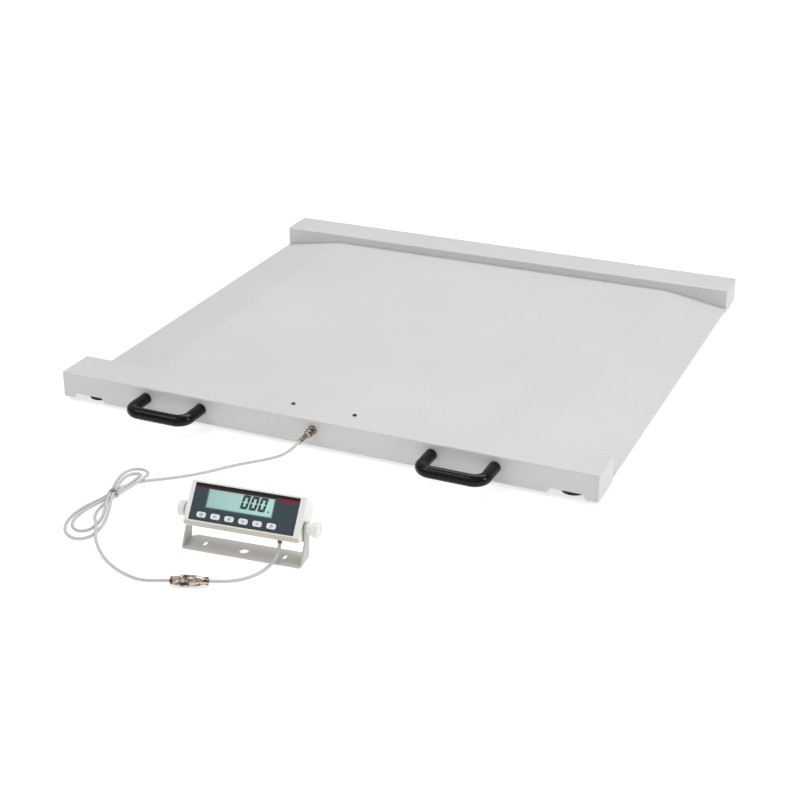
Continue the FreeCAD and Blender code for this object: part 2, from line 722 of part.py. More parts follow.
def make_gland():
    """Metal cable gland on the front face: threaded body, locknut inside, dome nut and sleeve."""
    face = "-platform_depth / 2"
    flats = hexagon("GlandHex", "15", "5", ("0", f"{face} - 5", "gland_height"), "Y")
    thread = cylinder("GlandThread", "6.25", "plate + 6", ("0", f"{face} - 0.5", "gland_height"), "Y")
    bore = cylinder("GlandBore", "cable_radius + 0.1", "plate + 14", ("0", f"{face} - 6", "gland_height"), "Y")
    body = cut("GlandBody", fuse("GlandSolid", [flats, thread]), [bore])
    locknut = cut("Locknut",
                  hexagon("LocknutHex", "17", "3", ("0", f"{face} + plate", "gland_height"), "Y"),
                  [cylinder("LocknutBore", "6.3", "5", ("0", f"{face} + plate - 1", "gland_height"), "Y")])
    deliver(group("GlandPieces", [body, locknut]), "gland_body")
    nut = turned("GlandNut", [
        ("cable_radius + 0.1", "5"),
        ("gland_nut_radius - 0.5", "5"),
        ("gland_nut_radius", "5.5"),
        ("gland_nut_radius", "15.5"),
        ("gland_nut_radius - 1", "18"),
        ("sleeve_radius + 0.6", "21.5"),
        ("sleeve_radius", "22"),
        ("sleeve_radius", "sleeve_end - 1.5"),
        ("sleeve_radius + 0.35", "sleeve_end"),
        ("cable_radius + 0.1", "sleeve_end"),
    ])
    grip = sketch_on(nut, "XY_Plane", "GripFlute", "7")
    draw_circle(grip, "gland_nut_radius + 0.35", "0", "0.8")
    flute = pocket(nut, grip, "6.5", reverse=True)
    repeat_around(nut, flute, 14)
    deliver(nut, "gland_nut", ("0", "-platform_depth / 2 + platform_y", "gland_height", "0", "90"))


def tube(points, radius, report=None):
    """A round cable along straight runs joined by tangent arcs."""
    knots = [Vector(*p) for p in points]
    edges, start, length = [], knots[0], 0.0
    for before, corner, after in zip(knots, knots[1:], knots[2:]):
        into, out = corner - before, after - corner
        turn = into.getAngle(out)
        reach = 0.45 * min(into.Length, out.Length)
        arc_radius = reach / math.tan(turn / 2)
        a = corner - Vector(into).normalize() * reach
        b = corner + Vector(out).normalize() * reach
        inward = (Vector(out).normalize() - Vector(into).normalize()).normalize()
        middle = corner + inward * (arc_radius / math.cos(turn / 2) - arc_radius)
        edges.append(Part.LineSegment(start, a).toShape())
        edges.append(Part.Arc(a, middle, b).toShape())
        length += (a - start).Length + arc_radius * turn
        start = b
        if report:
            print(f"{report}: run {into.Length:.1f}, turn {math.degrees(turn):.1f}, radius {arc_radius:.1f}")
    edges.append(Part.LineSegment(start, knots[-1]).toShape())
    length += (knots[-1] - start).Length
    first = (knots[1] - knots[0]).normalize()
    section = Part.Wire(Part.makeCircle(radius, knots[0], first))
    solid = Part.Wire(edges).makePipeShell([section], True, True)
    expected = math.pi * radius ** 2 * length
    if abs(solid.Volume / expected - 1) > 0.01:
        raise RuntimeError(f"{report}: cable volume {solid.Volume:.0f} is not {expected:.0f}")
    if report:
        print(f"{report}: length {length:.1f} mm")
    return solid


def feature(name, shape):
    obj = doc.addObject("Part::Feature", name)
    obj.Shape = shape
    return obj


def make_leads():
    """Each cell's lead to the junction box, and the outgoing cable through the gland."""
    radius = size("cable_radius")
    box_end = size("box_length") / 2
    box_y = size("box_y")
    cell_end = size("foot_x") + size("cell_hole_inset") - size("cell_length") - 6
    cell_z = size("cell_top") - size("cell_side") / 2
    height = size("gland_height")
    lead_x, lead_z = size("lead_x"), size("lead_z")
    solids = [tube([(0, box_y - size("box_width") / 2 + 4, height),
                    (0, -size("platform_depth") / 2 - size("sleeve_end") + 0.5, height)], radius)]
    for side in SIDES.values():
        solids.append(tube([
            (side * cell_end, -size("foot_y"), cell_z),
            (side * (cell_end - 20), -size("foot_y"), cell_z),
            (side * (cell_end - 60), -size("foot_y") + 1, cell_z - 4),
            (side * (cell_end - 110), -size("foot_y") + 1, 26),
            (side * (cell_end - 165), box_y - 1, height - 2),
            (side * (box_end + 30), box_y, height),
            (side * (box_end - 3), box_y, height),
        ], radius))
        solids.append(tube([
            (side * cell_end, size("foot_y"), cell_z),
            (side * (cell_end - 20), size("foot_y"), cell_z),
            (side * (cell_end - 55), size("foot_y") - 6, 28),
            (side * (cell_end - 100), size("foot_y") - 11, 23),
            (side * (lead_x + 45), size("foot_y") - 13.5, lead_z),
            (side * lead_x, size("foot_y") - 22, lead_z),
            (side * lead_x, size("foot_y") - 80, lead_z),
            (side * (lead_x + 2), 0, lead_z - 0.5),
            (side * lead_x, box_y + 69, lead_z),
            (side * lead_x, box_y + 33, lead_z + 0.5),
            (side * (lead_x - 7), box_y + 17, lead_z + 7),
            (side * (lead_x - 23), box_y + 10, height),
            (side * (box_end - 3), box_y + 10, height),
        ], radius))
    deliver(feature("CellLeads", Part.makeCompound(solids)), "cell_leads")


# ---------------------------------------------------------------- handles
def make_handles():
    """Bridge handles on the front face, each held by two screws from inside the curb."""
    screws = []
    face = "-platform_depth / 2"
    for side_name, side in SIDES.items():
        pieces, bores = [], []
        bar_y = f"({face} - handle_reach)"
        for post in (-1, 1):
            x = f"({side} * handle_x + {post} * handle_pitch / 2)"
            pieces.append(cylinder("Post", "handle_radius", "handle_reach - handle_corner",
                                   (x, f"{bar_y} + handle_corner", "handle_height"), "Y"))
            bend = doc.addObject("Part::Torus", "HandleBend")
            bind(bend, Radius1="handle_corner", Radius2="handle_radius")
            bend.Angle3 = 90
            bend.Placement = Placement(Vector(), Rotation(Vector(0, 0, 1), 180 if post < 0 else 270))
            pieces.append(move(bend, (f"{x} - {post} * handle_corner", f"{bar_y} + handle_corner",
                                      "handle_height")))
            bores.append(cylinder("PostBore", "3.05", "18", (x, f"{face} - 17", "handle_height"), "Y"))
            shank = cylinder("HandleScrewShank", "3", "plate + 15", (x, f"{face} - 15", "handle_height"), "Y")
            head = cylinder("HandleScrewHead", "5.2", "4", (x, f"{face} + plate", "handle_height"), "Y")
            screws.append(fuse("HandleScrew", [shank, head]))
        pieces.append(cylinder("Bar", "handle_radius", "handle_pitch - 2 * handle_corner",
                               (f"{side} * handle_x - handle_pitch / 2 + handle_corner", bar_y,
                                "handle_height"), "X"))
        deliver(cut("Handle", fuse("HandleSolid", pieces), bores), f"handle_{side_name}")
    deliver(group("HandleScrews", screws), "handle_screws")


# ---------------------------------------------------------------- transport wheels
def make_wheels():
    """Two wheels in the rear curb that meet the floor once the front is lifted by its handles."""
    y = "(platform_depth / 2 + wheel_proud - wheel_radius)"
    z = "(wheel_lift + wheel_radius)"
    cheeks, axles = [], []
    for side_name, side in SIDES.items():
        x = f"({side} * wheel_x)"
        for hand in (-1, 1):
            inner = f"({x} + {hand} * cheek_gap / 2)"
            cheek = box("Cheek", ("plate", "30", "curb_top - plate - 12"),
                        (inner if hand > 0 else f"{inner} - plate", "platform_depth / 2 - plate - 30", "12"))
            hole = cylinder("AxleHole", "axle_radius + 0.05", "plate + 2",
                            (f"{inner} - plate - 1" if hand < 0 else f"{inner} - 1", y, z), "X")
            cheeks.append(cut("WheelCheek", cheek, [hole]))
        shank = cylinder("AxleShank", "axle_radius", "cheek_gap + 2 * plate + 2",
                         (f"{x} - cheek_gap / 2 - plate", y, z), "X")
        head = cylinder("AxleHead", "axle_radius + 1.4", "2", (f"{x} - cheek_gap / 2 - plate - 2", y, z), "X")
        axles.append(fuse("WheelAxle", [shank, head]))
        wheel = turned("Wheel", [
            ("axle_radius + 0.05", "-wheel_width / 2 - 1"),
            ("8", "-wheel_width / 2 - 1"),
            ("8", "-wheel_width / 2 + 2"),
            ("14", "-wheel_width / 2 + 2"),
            ("14", "-wheel_width / 2"),
            ("wheel_radius - 1.5", "-wheel_width / 2"),
            ("wheel_radius", "-wheel_width / 2 + 1.5"),
            ("wheel_radius", "wheel_width / 2 - 1.5"),
            ("wheel_radius - 1.5", "wheel_width / 2"),
            ("14", "wheel_width / 2"),
            ("14", "wheel_width / 2 - 2"),
            ("8", "wheel_width / 2 - 2"),
            ("8", "wheel_width / 2 + 1"),
            ("axle_radius + 0.05", "wheel_width / 2 + 1"),
        ])
        deliver(wheel, f"wheel_{side_name}", (x, f"{y} + platform_y", z, "90", "90"))
    deliver(group("WheelCheeks", cheeks), "wheel_brackets")
    deliver(group("WheelAxles", axles), "wheel_axles")


# ---------------------------------------------------------------- display bracket
def make_bracket():
    """A U of flat steel: a base strip with mounting slots and two arms that taper to round heads."""
    outer = box("BracketBlock", ("bracket_width", "bracket_depth", "pivot_height"),
                ("-bracket_width / 2", "-bracket_depth / 2", "0"))
    inner = box("BracketGap", ("bracket_width - 2 * bracket_steel", "bracket_depth + 2", "pivot_height"),
                ("bracket_steel - bracket_width / 2", "-bracket_depth / 2 - 1", "bracket_steel"))
    bent = round_edges("BracketBends", cut("BracketStrip", outer, [inner]), "bend_radius",
                       lambda middle, way: abs(way.y) > 0.99 and middle.z < 0.1)
    beyond, above = "(bracket_depth / 2 + 1)", "(pivot_height + 1)"
    waste = [
        prism("FrontWaste", "YZ", [
            (f"-{beyond}", "bracket_steel"),
            ("foot_front", "bracket_steel"),
            ("arm_front", "arm_waist"),
            ("pivot_y - arm_radius", "pivot_height"),
            ("pivot_y - arm_radius", above),
            (f"-{beyond}", above),
        ], "bracket_width + 2", "-bracket_width / 2 - 1"),
        prism("RearWaste", "YZ", [
            ("foot_back", "bracket_steel"),
            (beyond, "bracket_steel"),
            (beyond, above),
            ("pivot_y + arm_radius", above),
            ("pivot_y + arm_radius", "pivot_height"),
            ("arm_back", "arm_waist"),
        ], "bracket_width + 2", "-bracket_width / 2 - 1"),
    ]
    for side in SIDES.values():
        for end, foot in ((-1, "foot_front"), (1, "foot_back")):
            edge = f"(bracket_depth / 2 - {end} * {foot} + 1)"
            waste.append(prism("CornerWaste", "XY", [
                (f"{side} * (bracket_width / 2 + 1)", f"{foot} - {end}"),
                (f"{side} * (bracket_width / 2 + 1)", f"{end} * {beyond}"),
                (f"{side} * (bracket_width / 2 - {edge})", f"{end} * {beyond}"),
            ], "bracket_steel + 1", "-1"))
    pieces = [cut("BracketShape", bent, waste)]
    for side in SIDES.values():
        inside = f"({side} * (bracket_width / 2) - {1 if side > 0 else 0} * bracket_steel)"
        pieces.append(cylinder("ArmHead", "arm_radius", "bracket_steel",
                               (inside, "pivot_y", "pivot_height"), "X"))
    tools = [cylinder("AccessHole", "access_radius", "bracket_steel + 2", ("holes_x", "-2", "-1"))]
    for side in SIDES.values():
        x = f"(holes_x + {side} * slot_x)"
        tools.append(centred_box("SlotMiddle", ("slot_width", "slot_length - slot_width", "bracket_steel + 2"),
                                 (x, "1", "bracket_steel / 2")))
        for end in (-1, 1):
            tools.append(cylinder("SlotEnd", "slot_width / 2", "bracket_steel + 2",
                                  (x, f"1 + {end} * (slot_length - slot_width) / 2", "-1")))
        tools.append(cylinder("PivotHole", "stud_radius + 0.08", "bracket_steel + 2",
                              (f"{side} * bracket_width / 2 - bracket_steel / 2 - 1 - {side} * bracket_steel / 2",
                               "pivot_y", "pivot_height"), "X"))
    deliver(cut("Bracket", fuse("BracketSolid", pieces), tools), "display_bracket", IN_BRACKET)


# ---------------------------------------------------------------- display housing
def case_outline(inset):
    """Side view of the rear shell, drawn in by a wall's thickness where inset is set."""
    wall = "case_wall" if inset else "0"
    return [
        ("case_seam - 0.01" if inset else "case_seam", f"case_bottom + {wall}"),
        (f"case_rear - {wall}", f"case_rear_bottom + {wall}"),
        (f"case_rear - {wall}", f"case_rear_top - {wall}"),
        ("case_seam - 0.01" if inset else "case_seam", f"case_top - {wall}"),
    ]


def make_housing():
    """Two plastic shells that meet behind the faceplate, held by four screws from the rear."""
    def corner(middle, way):
        return abs(way.y) > 0.99

    front = prism("FrontBlock", "YZ", [
        ("case_seam", "case_bottom"),
        ("case_seam", "case_top"),
        ("case_front + face_steel", "case_top"),
        ("case_front", "case_top - face_steel"),
        ("case_front", "case_bottom + case_bevel"),
        ("case_front + case_bevel * 0.7", "case_bottom"),
    ], "case_width", "-case_width / 2")
    front = round_edges("FrontCorners", front, "case_wall", corner)
    hollow = centred_box("FrontHollow",
                         ("case_width - 2 * case_wall", "case_seam - case_front - case_wall + 1",
                          "case_top - case_bottom - 2 * case_wall"),
                         ("0", "(case_seam + case_front + case_wall + 1) / 2", "(case_top + case_bottom) / 2"))
    recess = centred_box("FaceRecess", ("face_width + 0.2", "2 * face_steel", "face_height + 0.2"),
                         ("face_x", "case_front", "face_z"))
    window = centred_box("WindowHole", ("window_width + 0.6", "10", "window_height + 0.6"),
                         ("window_x", "case_front", "window_z"))
    keys = [centred_box("KeyHole", ("key_width + 2 * key_play", "10", "key_height + 2 * key_play"),
                        (key_x(number), "case_front", "key_z")) for number in range(6)]
    clips = [centred_box("ClipSlot", ("3 * case_wall", "clip_width", "clip_length"),
                         (f"{side} * case_width / 2", "clip_y", "clip_z")) for side in SIDES.values()]
    bosses, bores = [], []
    for x, z in screw_places():
        bosses.append(cylinder("FrontBoss", "4", "case_seam - case_front - case_wall",
                               (x, "case_front + case_wall", z), "Y"))
        bores.append(cylinder("FrontBossBore", "1.55", "case_seam - case_front - case_wall - 2",
                              (x, "case_front + case_wall + 2.1", z), "Y"))
    shell = cut("FrontShell", front, [hollow, recess, window] + keys + clips)
    deliver(cut("HousingFront", fuse("FrontWithBosses", [shell] + bosses), bores), "housing_front", IN_HOUSING)

    rear = prism("RearBlock", "YZ", case_outline(False), "case_width", "-case_width / 2")
    rear = round_edges("RearCorners", rear, "case_wall",
                       lambda middle, way: abs(middle.x) > size("case_width") / 2 - 0.01
                       and middle.y > size("case_seam") + 0.1)
    hollow = prism("RearHollow", "YZ", case_outline(True), "case_width - 2 * case_wall",
                   "-case_width / 2 + case_wall")
    outlet = cylinder("OutletBore", "3.05", "12", ("0", "0", "0"))
    x, y, z = "outlet_x", "outlet_y", OUTLET_Z
    lean = f"({bound(UNDERSIDE_ANGLE)} * 1 deg)"
    outlet.setExpression("Placement", f"placement(vector({bound(x)}; {bound(y)} + 4 * sin({lean}); "
                         f"{bound(z)} - 4 * cos({lean})); rotation(0; 0; {bound(UNDERSIDE_ANGLE)}))")
    bosses, bores = [], []
    for x, z in screw_places():
        bosses.append(cylinder("RearBoss", "4", "case_rear - case_seam - 1", (x, "case_seam", z), "Y"))
        bores.append(cylinder("RearBossBore", "1.6", "case_rear - case_seam + 2", (x, "case_seam - 1", z), "Y"))
        bores.append(cylinder("RearCounterbore", "3", "4", (x, "case_rear - 2.5", z), "Y"))
    pivots = [cylinder("PivotBore", "5.05", "case_wall + 2",
                       (f"{side} * case_width / 2 - {side} * case_wall / 2 - case_wall / 2 - 1", "0", "0"), "X")
              for side in SIDES.values()]
    shell = cut("RearShell", rear, [hollow, outlet] + pivots)
    deliver(cut("HousingBack", fuse("RearWithBosses", [shell] + bosses), bores), "housing_back", IN_HOUSING)


def housing_frame(x, y, z, turn="0"):
    """The frame at a point of the housing, turned about X against the housing."""
    x0, y0, z0, yaw, roll = IN_HOUSING
    lean, heading = "(display_tilt * 1 deg)", "(display_yaw * 1 deg)"
    forward = f"(({y}) * cos({lean}) + ({z}) * sin({lean}))"
    return (
        f"{x0} + ({x}) * cos({heading}) - {forward} * sin({heading})",
        f"{y0} + ({x}) * sin({heading}) + {forward} * cos({heading})",
        f"{z0} - ({y}) * sin({lean}) + ({z}) * cos({lean})",
        yaw,
        f"{roll} + {turn}",
    )


def key_x(number):
    return f"(key_first_x + {number} * key_pitch)"


def screw_places():
    return [(f"({side} * screw_x)", z) for side in SIDES.values() for z in ("screw_top", "screw_bottom")]


def make_face():
    """The faceplate, its display window and the six keys."""
    plate = centred_box("FaceBlock", ("face_width", "face_steel", "face_height"),
                        ("face_x", "case_front + face_steel / 2", "face_z"))
    plate = round_edges("FaceCorners", plate, "face_steel", lambda middle, way: abs(way.y) > 0.99)
    window = centred_box("FaceWindow", ("window_width + 0.2", "10", "window_height + 0.2"),
                         ("window_x", "case_front", "window_z"))
    openings = []
    for number in range(6):
        opening = centred_box("FaceKeyHole", ("key_width + 2 * key_play", "10", "key_height + 2 * key_play"),
                              (key_x(number), "case_front", "key_z"))
        openings.append(round_edges("FaceKeyHoleRound", opening, "plate",
                                    lambda middle, way: abs(way.y) > 0.99))
    deliver(cut("Faceplate", plate, [window] + openings), "faceplate", IN_HOUSING)

    glass = centred_box("GlassFace", ("window_width", "case_wall - 0.6", "window_height"),
                        ("window_x", "case_front + 0.6 + (case_wall - 0.6) / 2", "window_z"))
    body = centred_box("GlassBody", ("window_width + 6", "4.5", "window_height + 5"),
                       ("window_x", "case_front + case_wall + 2.25", "window_z"))
    deliver(fuse("LcdModule", [glass, body]), "lcd_module", IN_HOUSING)

    for number in range(6):
        cap = new_body(f"Key{number + 1}")
        outline = sketch_on(cap, "XZ_Plane", "CapOutline")
        draw_outline(outline, [
            ("-key_width / 2", "-key_height / 2"),
            ("key_width / 2", "-key_height / 2"),
            ("key_width / 2", "key_height / 2"),
            ("-key_width / 2", "key_height / 2"),
        ])
        pad(cap, outline, "key_proud + case_wall")
        round_body(cap, "plate", lambda middle, way: abs(way.y) > 0.99)
        flange = sketch_on(cap, "XZ_Plane", "FlangeOutline")
        draw_outline(flange, [
            ("-key_width / 2 - 1", "-key_height / 2 - 1"),
            ("key_width / 2 + 1", "-key_height / 2 - 1"),
            ("key_width / 2 + 1", "key_height / 2 + 1"),
            ("-key_width / 2 - 1", "key_height / 2 + 1"),
        ])
        pad(cap, flange, "1", reverse=True)
        frame = housing_frame(key_x(number), "(case_front + case_wall)", "key_z")
        deliver(cap, f"key_{number + 1}", frame)


def make_display_inside():
    """What the housing holds: rubber key mat, main board, battery pack, screws, pivot bushes."""
    board_front = "(case_front + 7)"
    mat = [centred_box("MatSheet", ("6 * key_pitch - 4", "1.5", "key_height + 5"),
                       ("key_first_x + 2.5 * key_pitch", f"{board_front} - 0.75", "key_z"))]
    for number in range(6):
        mat.append(cylinder("MatDome", "3", "1.4", (key_x(number), f"{board_front} - 2.8", "key_z"), "Y"))
    deliver(fuse("KeyMat", mat), "key_mat", IN_HOUSING)
    board = centred_box("MainBoard", ("140", "1.6", "50"), ("0", f"{board_front} + 0.8", "9.5"))
    chips = [
        centred_box("Controller", ("14", "2", "14"), ("-20", f"{board_front} + 2.6", "18")),
        centred_box("Converter", ("10", "2", "8"), ("15", f"{board_front} + 2.6", "20")),
        centred_box("Terminal", ("20", "7", "8"), ("52", f"{board_front} + 5.1", "-6")),
    ]
    deliver(fuse("MainBoardAssembly", [board] + chips), "main_board", IN_HOUSING)
    cells = [cylinder("BatteryCell", "7", "100", ("-60", "12", f"{z}"), "X") for z in (-4, 10.2)]
    sleeve = centred_box("BatterySleeve", ("100", "9", "14.2"), ("-10", "12", "3.1"))
    deliver(fuse("BatteryPack", cells + [sleeve]), "battery_pack", IN_HOUSING)
    screws = []
    for x, z in screw_places():
        head = cylinder("CaseScrewHead", "2.8", "2", (x, "case_rear - 2.5", z), "Y")
        shank = cylinder("CaseScrewShank", "1.5", "case_rear - 2.5 - case_seam + 4",
                         (x, "case_seam - 4", z), "Y")
        screws.append(fuse("CaseScrew", [head, shank]))
    deliver(group("HousingScrews", screws), "housing_screws", IN_HOUSING)
    bushes = []
    for side in SIDES.values():
        face = f"{side} * case_width / 2"
        reach = "((bracket_width - case_width) / 2 - bracket_steel - 0.05)"
        flange = cylinder("BushFlange", "8", reach, (face if side > 0 else f"{face} - {reach}", "0", "0"), "X")
        sleeve = cylinder("BushSleeve", "5", "case_wall + 4",
                          (f"{face} - case_wall - 4" if side > 0 else face, "0", "0"), "X")
        bore = cylinder("BushBore", "stud_radius + 0.06", "20", (f"{face} - 10", "0", "0"), "X")
        bushes.append(cut("PivotBush", fuse("BushSolid", [flange, sleeve]), [bore]))
    deliver(group("PivotBushes", bushes), "pivot_bushes", IN_HOUSING)
    flange = cylinder("OutletFlange", "3.9", "1.8", ("0", "0", "-1.8"))
    snout = cone("OutletSnout", "3.1", "3.5", "4.1", ("0", "0", "-5.8"))
    neck = cylinder("OutletNeck", "3", "case_wall + 2.3", ("0", "0", "-0.3"))
    bore = cylinder("OutletGlandBore", "2.45", "14", ("0", "0", "-7"))
    frame = housing_frame("outlet_x", "outlet_y", OUTLET_Z, UNDERSIDE_ANGLE)
    deliver(cut("OutletGland", fuse("OutletSolid", [flange, snout, neck]), [bore]), "display_gland", frame)


def make_knobs():
    """Fluted clamp knobs that pull each arm against its bush."""
    for side_name, side in SIDES.items():
        hub = "(bracket_width / 2 + 0.15)"
        start = f"({hub} + {side_name}_hub)"
        knob = turned("Knob", [
            ("0", "bracket_width / 2 - 8"),
            ("stud_radius", "bracket_width / 2 - 8"),
            ("stud_radius", hub),
            ("hub_radius", hub),
            ("hub_radius", start),
            ("knob_radius - 0.8", start),
            ("knob_radius", f"{start} + 0.8"),
            ("knob_radius", f"{start} + knob_length - 1.2"),
            ("knob_radius - 1.2", f"{start} + knob_length"),
            ("knob_radius - 4", f"{start} + knob_length"),
            ("knob_radius - 4.6", f"{start} + knob_length - 1"),
            ("0", f"{start} + knob_length - 1"),
        ])
        grip = sketch_on(knob, "XY_Plane", "KnobFlute", f"{start} - 0.1")
        draw_circle(grip, "knob_radius + 0.8", "0", "1.5")
        flute = pocket(knob, grip, "knob_length", reverse=True)
        repeat_around(knob, flute, 16)
        deliver(knob, f"knob_{side_name}", IN_HOUSING[:4] + ("0",), 90 * side)


# ---------------------------------------------------------------- connector, cable and tie
def make_connector():
    """In-line connector: two metal halves held together by a coupling ring."""
    start = "(13.9)"
    stop = "(26)"
    bore = cylinder("PlugCavity", "4", "14", ("16", "0", "0"), "X")
    plug = fuse("PlugSolid", [
        cylinder("PlugTail", "5.9", "4.5", ("0", "0", "0"), "X"),
        cone("PlugStep", "5.2", "6.6", "1", ("4.5", "0", "0"), "X"),
        cylinder("PlugShell", "6.6", "13.8 - 5.5", ("5.5", "0", "0"), "X"),
        cylinder("PlugBarrel", "6", "30 - 13.8", ("13.8", "0", "0"), "X"),
    ])
    deliver(cut("ConnectorPlug", plug, [bore]), "connector_plug", IN_CONNECTOR)
    socket = fuse("SocketSolid", [
        cylinder("SocketShell", "7.8", "8", (f"{stop} + 0.1", "0", "0"), "X"),
        cone("SocketTaper", "7.8", "5.9", "9", (f"{stop} + 8.1", "0", "0"), "X"),
        cylinder("SocketNeck", "5.4", "3", (f"{stop} + 17", "0", "0"), "X"),
        cylinder("SocketTail", "6", "connector_length - 46", ("46", "0", "0"), "X"),
    ])
    seat = cylinder("SocketSeat", "6.06", "4.5", (f"{stop} - 0.2", "0", "0"), "X")
    deliver(cut("ConnectorSocket", socket, [seat]), "connector_socket", IN_CONNECTOR)
    ring = turned("CouplingRing", [
        ("6.06", start),
        ("ring_radius - 0.6", start),
        ("ring_radius", f"{start} + 0.6"),
        ("ring_radius", f"{stop} - 0.6"),
        ("ring_radius - 0.6", stop),
        ("6.06", stop),
    ])
    grip = sketch_on(ring, "XY_Plane", "RingFlute", f"{start} + 2")
    draw_circle(grip, "ring_radius + 0.3", "0", "0.75")
    flute = pocket(ring, grip, "8", reverse=True)
    repeat_around(ring, flute, 20)
    deliver(ring, "coupling_ring", IN_CONNECTOR, 90)


def make_cables():
    """The free cable: a tube where it lies loose, and one solid around its tied bundle."""
    radius = size("cable_radius")
    for name, points in (("platform_cable", PLATFORM_CABLE), ("connector_cable", CONNECTOR_CABLE),
                         ("display_cable", DISPLAY_CABLE)):
        deliver(feature(name.title(), tube(points, radius, name)), name)
    upper = prism("UpperLoops", "XY", [
        ("tie_x - waist_width / 2", "tie_y + tie_band"),
        ("-231", "-697"),
        ("-240", "-664"),
        ("-232", "-634"),
        ("-216", "-624"),
        ("-196", "-632"),
        ("-184", "-652"),
        ("-184", "-676"),
        ("tie_x + waist_width / 2", "tie_y + tie_band"),
    ], "hank_height", "0")
    lower = prism("LowerLoops", "XY", [
        ("tie_x - waist_width / 2", "tie_y - tie_band"),
        ("-231", "-760"),
        ("-234", "-800"),
        ("-224", "-838"),
        ("-198", "-858"),
        ("-172", "-853"),
        ("-159", "-830"),
        ("-164", "-792"),
        ("-180", "-755"),
        ("tie_x + waist_width / 2", "tie_y - tie_band"),
    ], "hank_height", "0")
    middle = ("tie_x", "tie_y", "tie_wall + 0.1 + hank_height / 2")
    waist = centred_box("HankWaist", ("waist_width", "tie_band * 2 + 0.1", "hank_height"), middle)
    deliver(fuse("CableHank", [upper, lower, waist]), "cable_hank")
    band = centred_box("TieBand", ("waist_width + 2 * tie_wall", "tie_band", "hank_height + 2 * tie_wall"), middle)
    hole = centred_box("TieHole", ("waist_width + 0.1", "tie_band + 2", "hank_height + 0.1"), middle)
    deliver(cut("CableTie", band, [hole]), "cable_tie")


make_deck()
make_ribs()
make_front_curb()
make_rear_curb()
make_curb_ends()
make_load_cells()
make_feet()
make_junction_box()
make_gland()
make_leads()
make_handles()
make_wheels()
make_bracket()
make_housing()
make_face()
make_display_inside()
make_knobs()
make_connector()
make_cables()
doc.recompute()

for obj in doc.Objects:
    if "Invalid" in obj.State or "Error" in obj.State:
        raise RuntimeError(f"{obj.Label} did not compute: {obj.State}")
for obj in sub_parts:
    if obj.Shape.isNull() or not obj.Shape.isValid():
        raise RuntimeError(f"{obj.Label} has no valid shape")

os.makedirs("parts", exist_ok=True)
for obj in sub_parts:
    obj.Shape.exportStep(f"parts/{obj.Label}.step")
print(f"{len(sub_parts)} sub-parts written")
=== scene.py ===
"""Looks of a low platform scale: camera, light, cords, painted steel, display and fittings.

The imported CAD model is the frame. A piece that stands for a CAD node either takes that node's own shape
with broken edges and smooth curves, or is built here in mesh code. Sizes in the lists are millimetres.
"""
import json
import math

import bmesh
import bpy
from mathutils import Matrix, Vector
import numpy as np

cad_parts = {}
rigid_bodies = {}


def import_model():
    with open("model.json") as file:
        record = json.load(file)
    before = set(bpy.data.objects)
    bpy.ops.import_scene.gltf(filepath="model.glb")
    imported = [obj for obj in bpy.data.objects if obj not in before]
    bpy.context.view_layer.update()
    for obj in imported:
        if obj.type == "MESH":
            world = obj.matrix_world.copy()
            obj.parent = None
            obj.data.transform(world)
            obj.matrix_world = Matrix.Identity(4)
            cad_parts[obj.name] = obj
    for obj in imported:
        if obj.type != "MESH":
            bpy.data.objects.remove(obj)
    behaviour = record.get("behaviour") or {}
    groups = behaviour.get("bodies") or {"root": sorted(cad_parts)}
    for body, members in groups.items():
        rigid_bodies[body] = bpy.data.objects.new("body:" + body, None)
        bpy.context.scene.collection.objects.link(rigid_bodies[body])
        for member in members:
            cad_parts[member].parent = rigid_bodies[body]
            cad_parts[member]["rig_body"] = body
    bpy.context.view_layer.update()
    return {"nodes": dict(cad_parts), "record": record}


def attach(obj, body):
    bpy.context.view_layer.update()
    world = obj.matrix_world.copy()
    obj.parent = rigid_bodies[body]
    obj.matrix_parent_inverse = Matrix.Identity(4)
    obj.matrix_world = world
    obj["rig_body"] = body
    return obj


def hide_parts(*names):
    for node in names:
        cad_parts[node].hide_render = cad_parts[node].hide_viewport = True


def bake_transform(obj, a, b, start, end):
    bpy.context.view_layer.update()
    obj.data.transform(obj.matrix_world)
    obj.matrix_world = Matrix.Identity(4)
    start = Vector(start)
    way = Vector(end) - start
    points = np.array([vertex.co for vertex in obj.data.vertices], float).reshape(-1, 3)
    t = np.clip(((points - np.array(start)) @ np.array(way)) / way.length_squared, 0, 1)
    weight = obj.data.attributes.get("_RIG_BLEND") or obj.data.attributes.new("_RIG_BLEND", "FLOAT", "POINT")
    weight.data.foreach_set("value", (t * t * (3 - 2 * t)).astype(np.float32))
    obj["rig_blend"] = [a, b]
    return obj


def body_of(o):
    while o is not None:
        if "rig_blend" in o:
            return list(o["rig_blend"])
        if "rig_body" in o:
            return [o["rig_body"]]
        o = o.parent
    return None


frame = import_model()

NODES = frame["nodes"]
SLOTS = {part["node"]: part["material_slot"] for part in frame["record"]["subparts"]}

MM = 0.001
PLATFORM_SHIFT = 172  # the platform's centre lies this far behind the row frame's origin
CABLE_RADIUS = 2.4


def at(x, y, z):
    """A point measured from the platform's centre, in the row frame in metres."""
    return Vector((x * MM, (y + PLATFORM_SHIFT) * MM, z * MM))


def turned_frame(place, yaw, lean=0.0):
    return Matrix.Translation(place) @ Matrix.Rotation(math.radians(yaw), 4, "Z") @ Matrix.Rotation(
        math.radians(lean), 4, "X")


CONNECTOR_YAW = 21.7
IN_HOUSING = turned_frame(at(57.033, -775.837, 50), 5.5, -39.3)
IN_CONNECTOR = turned_frame(at(7.5, -905, 8.4), CONNECTOR_YAW)

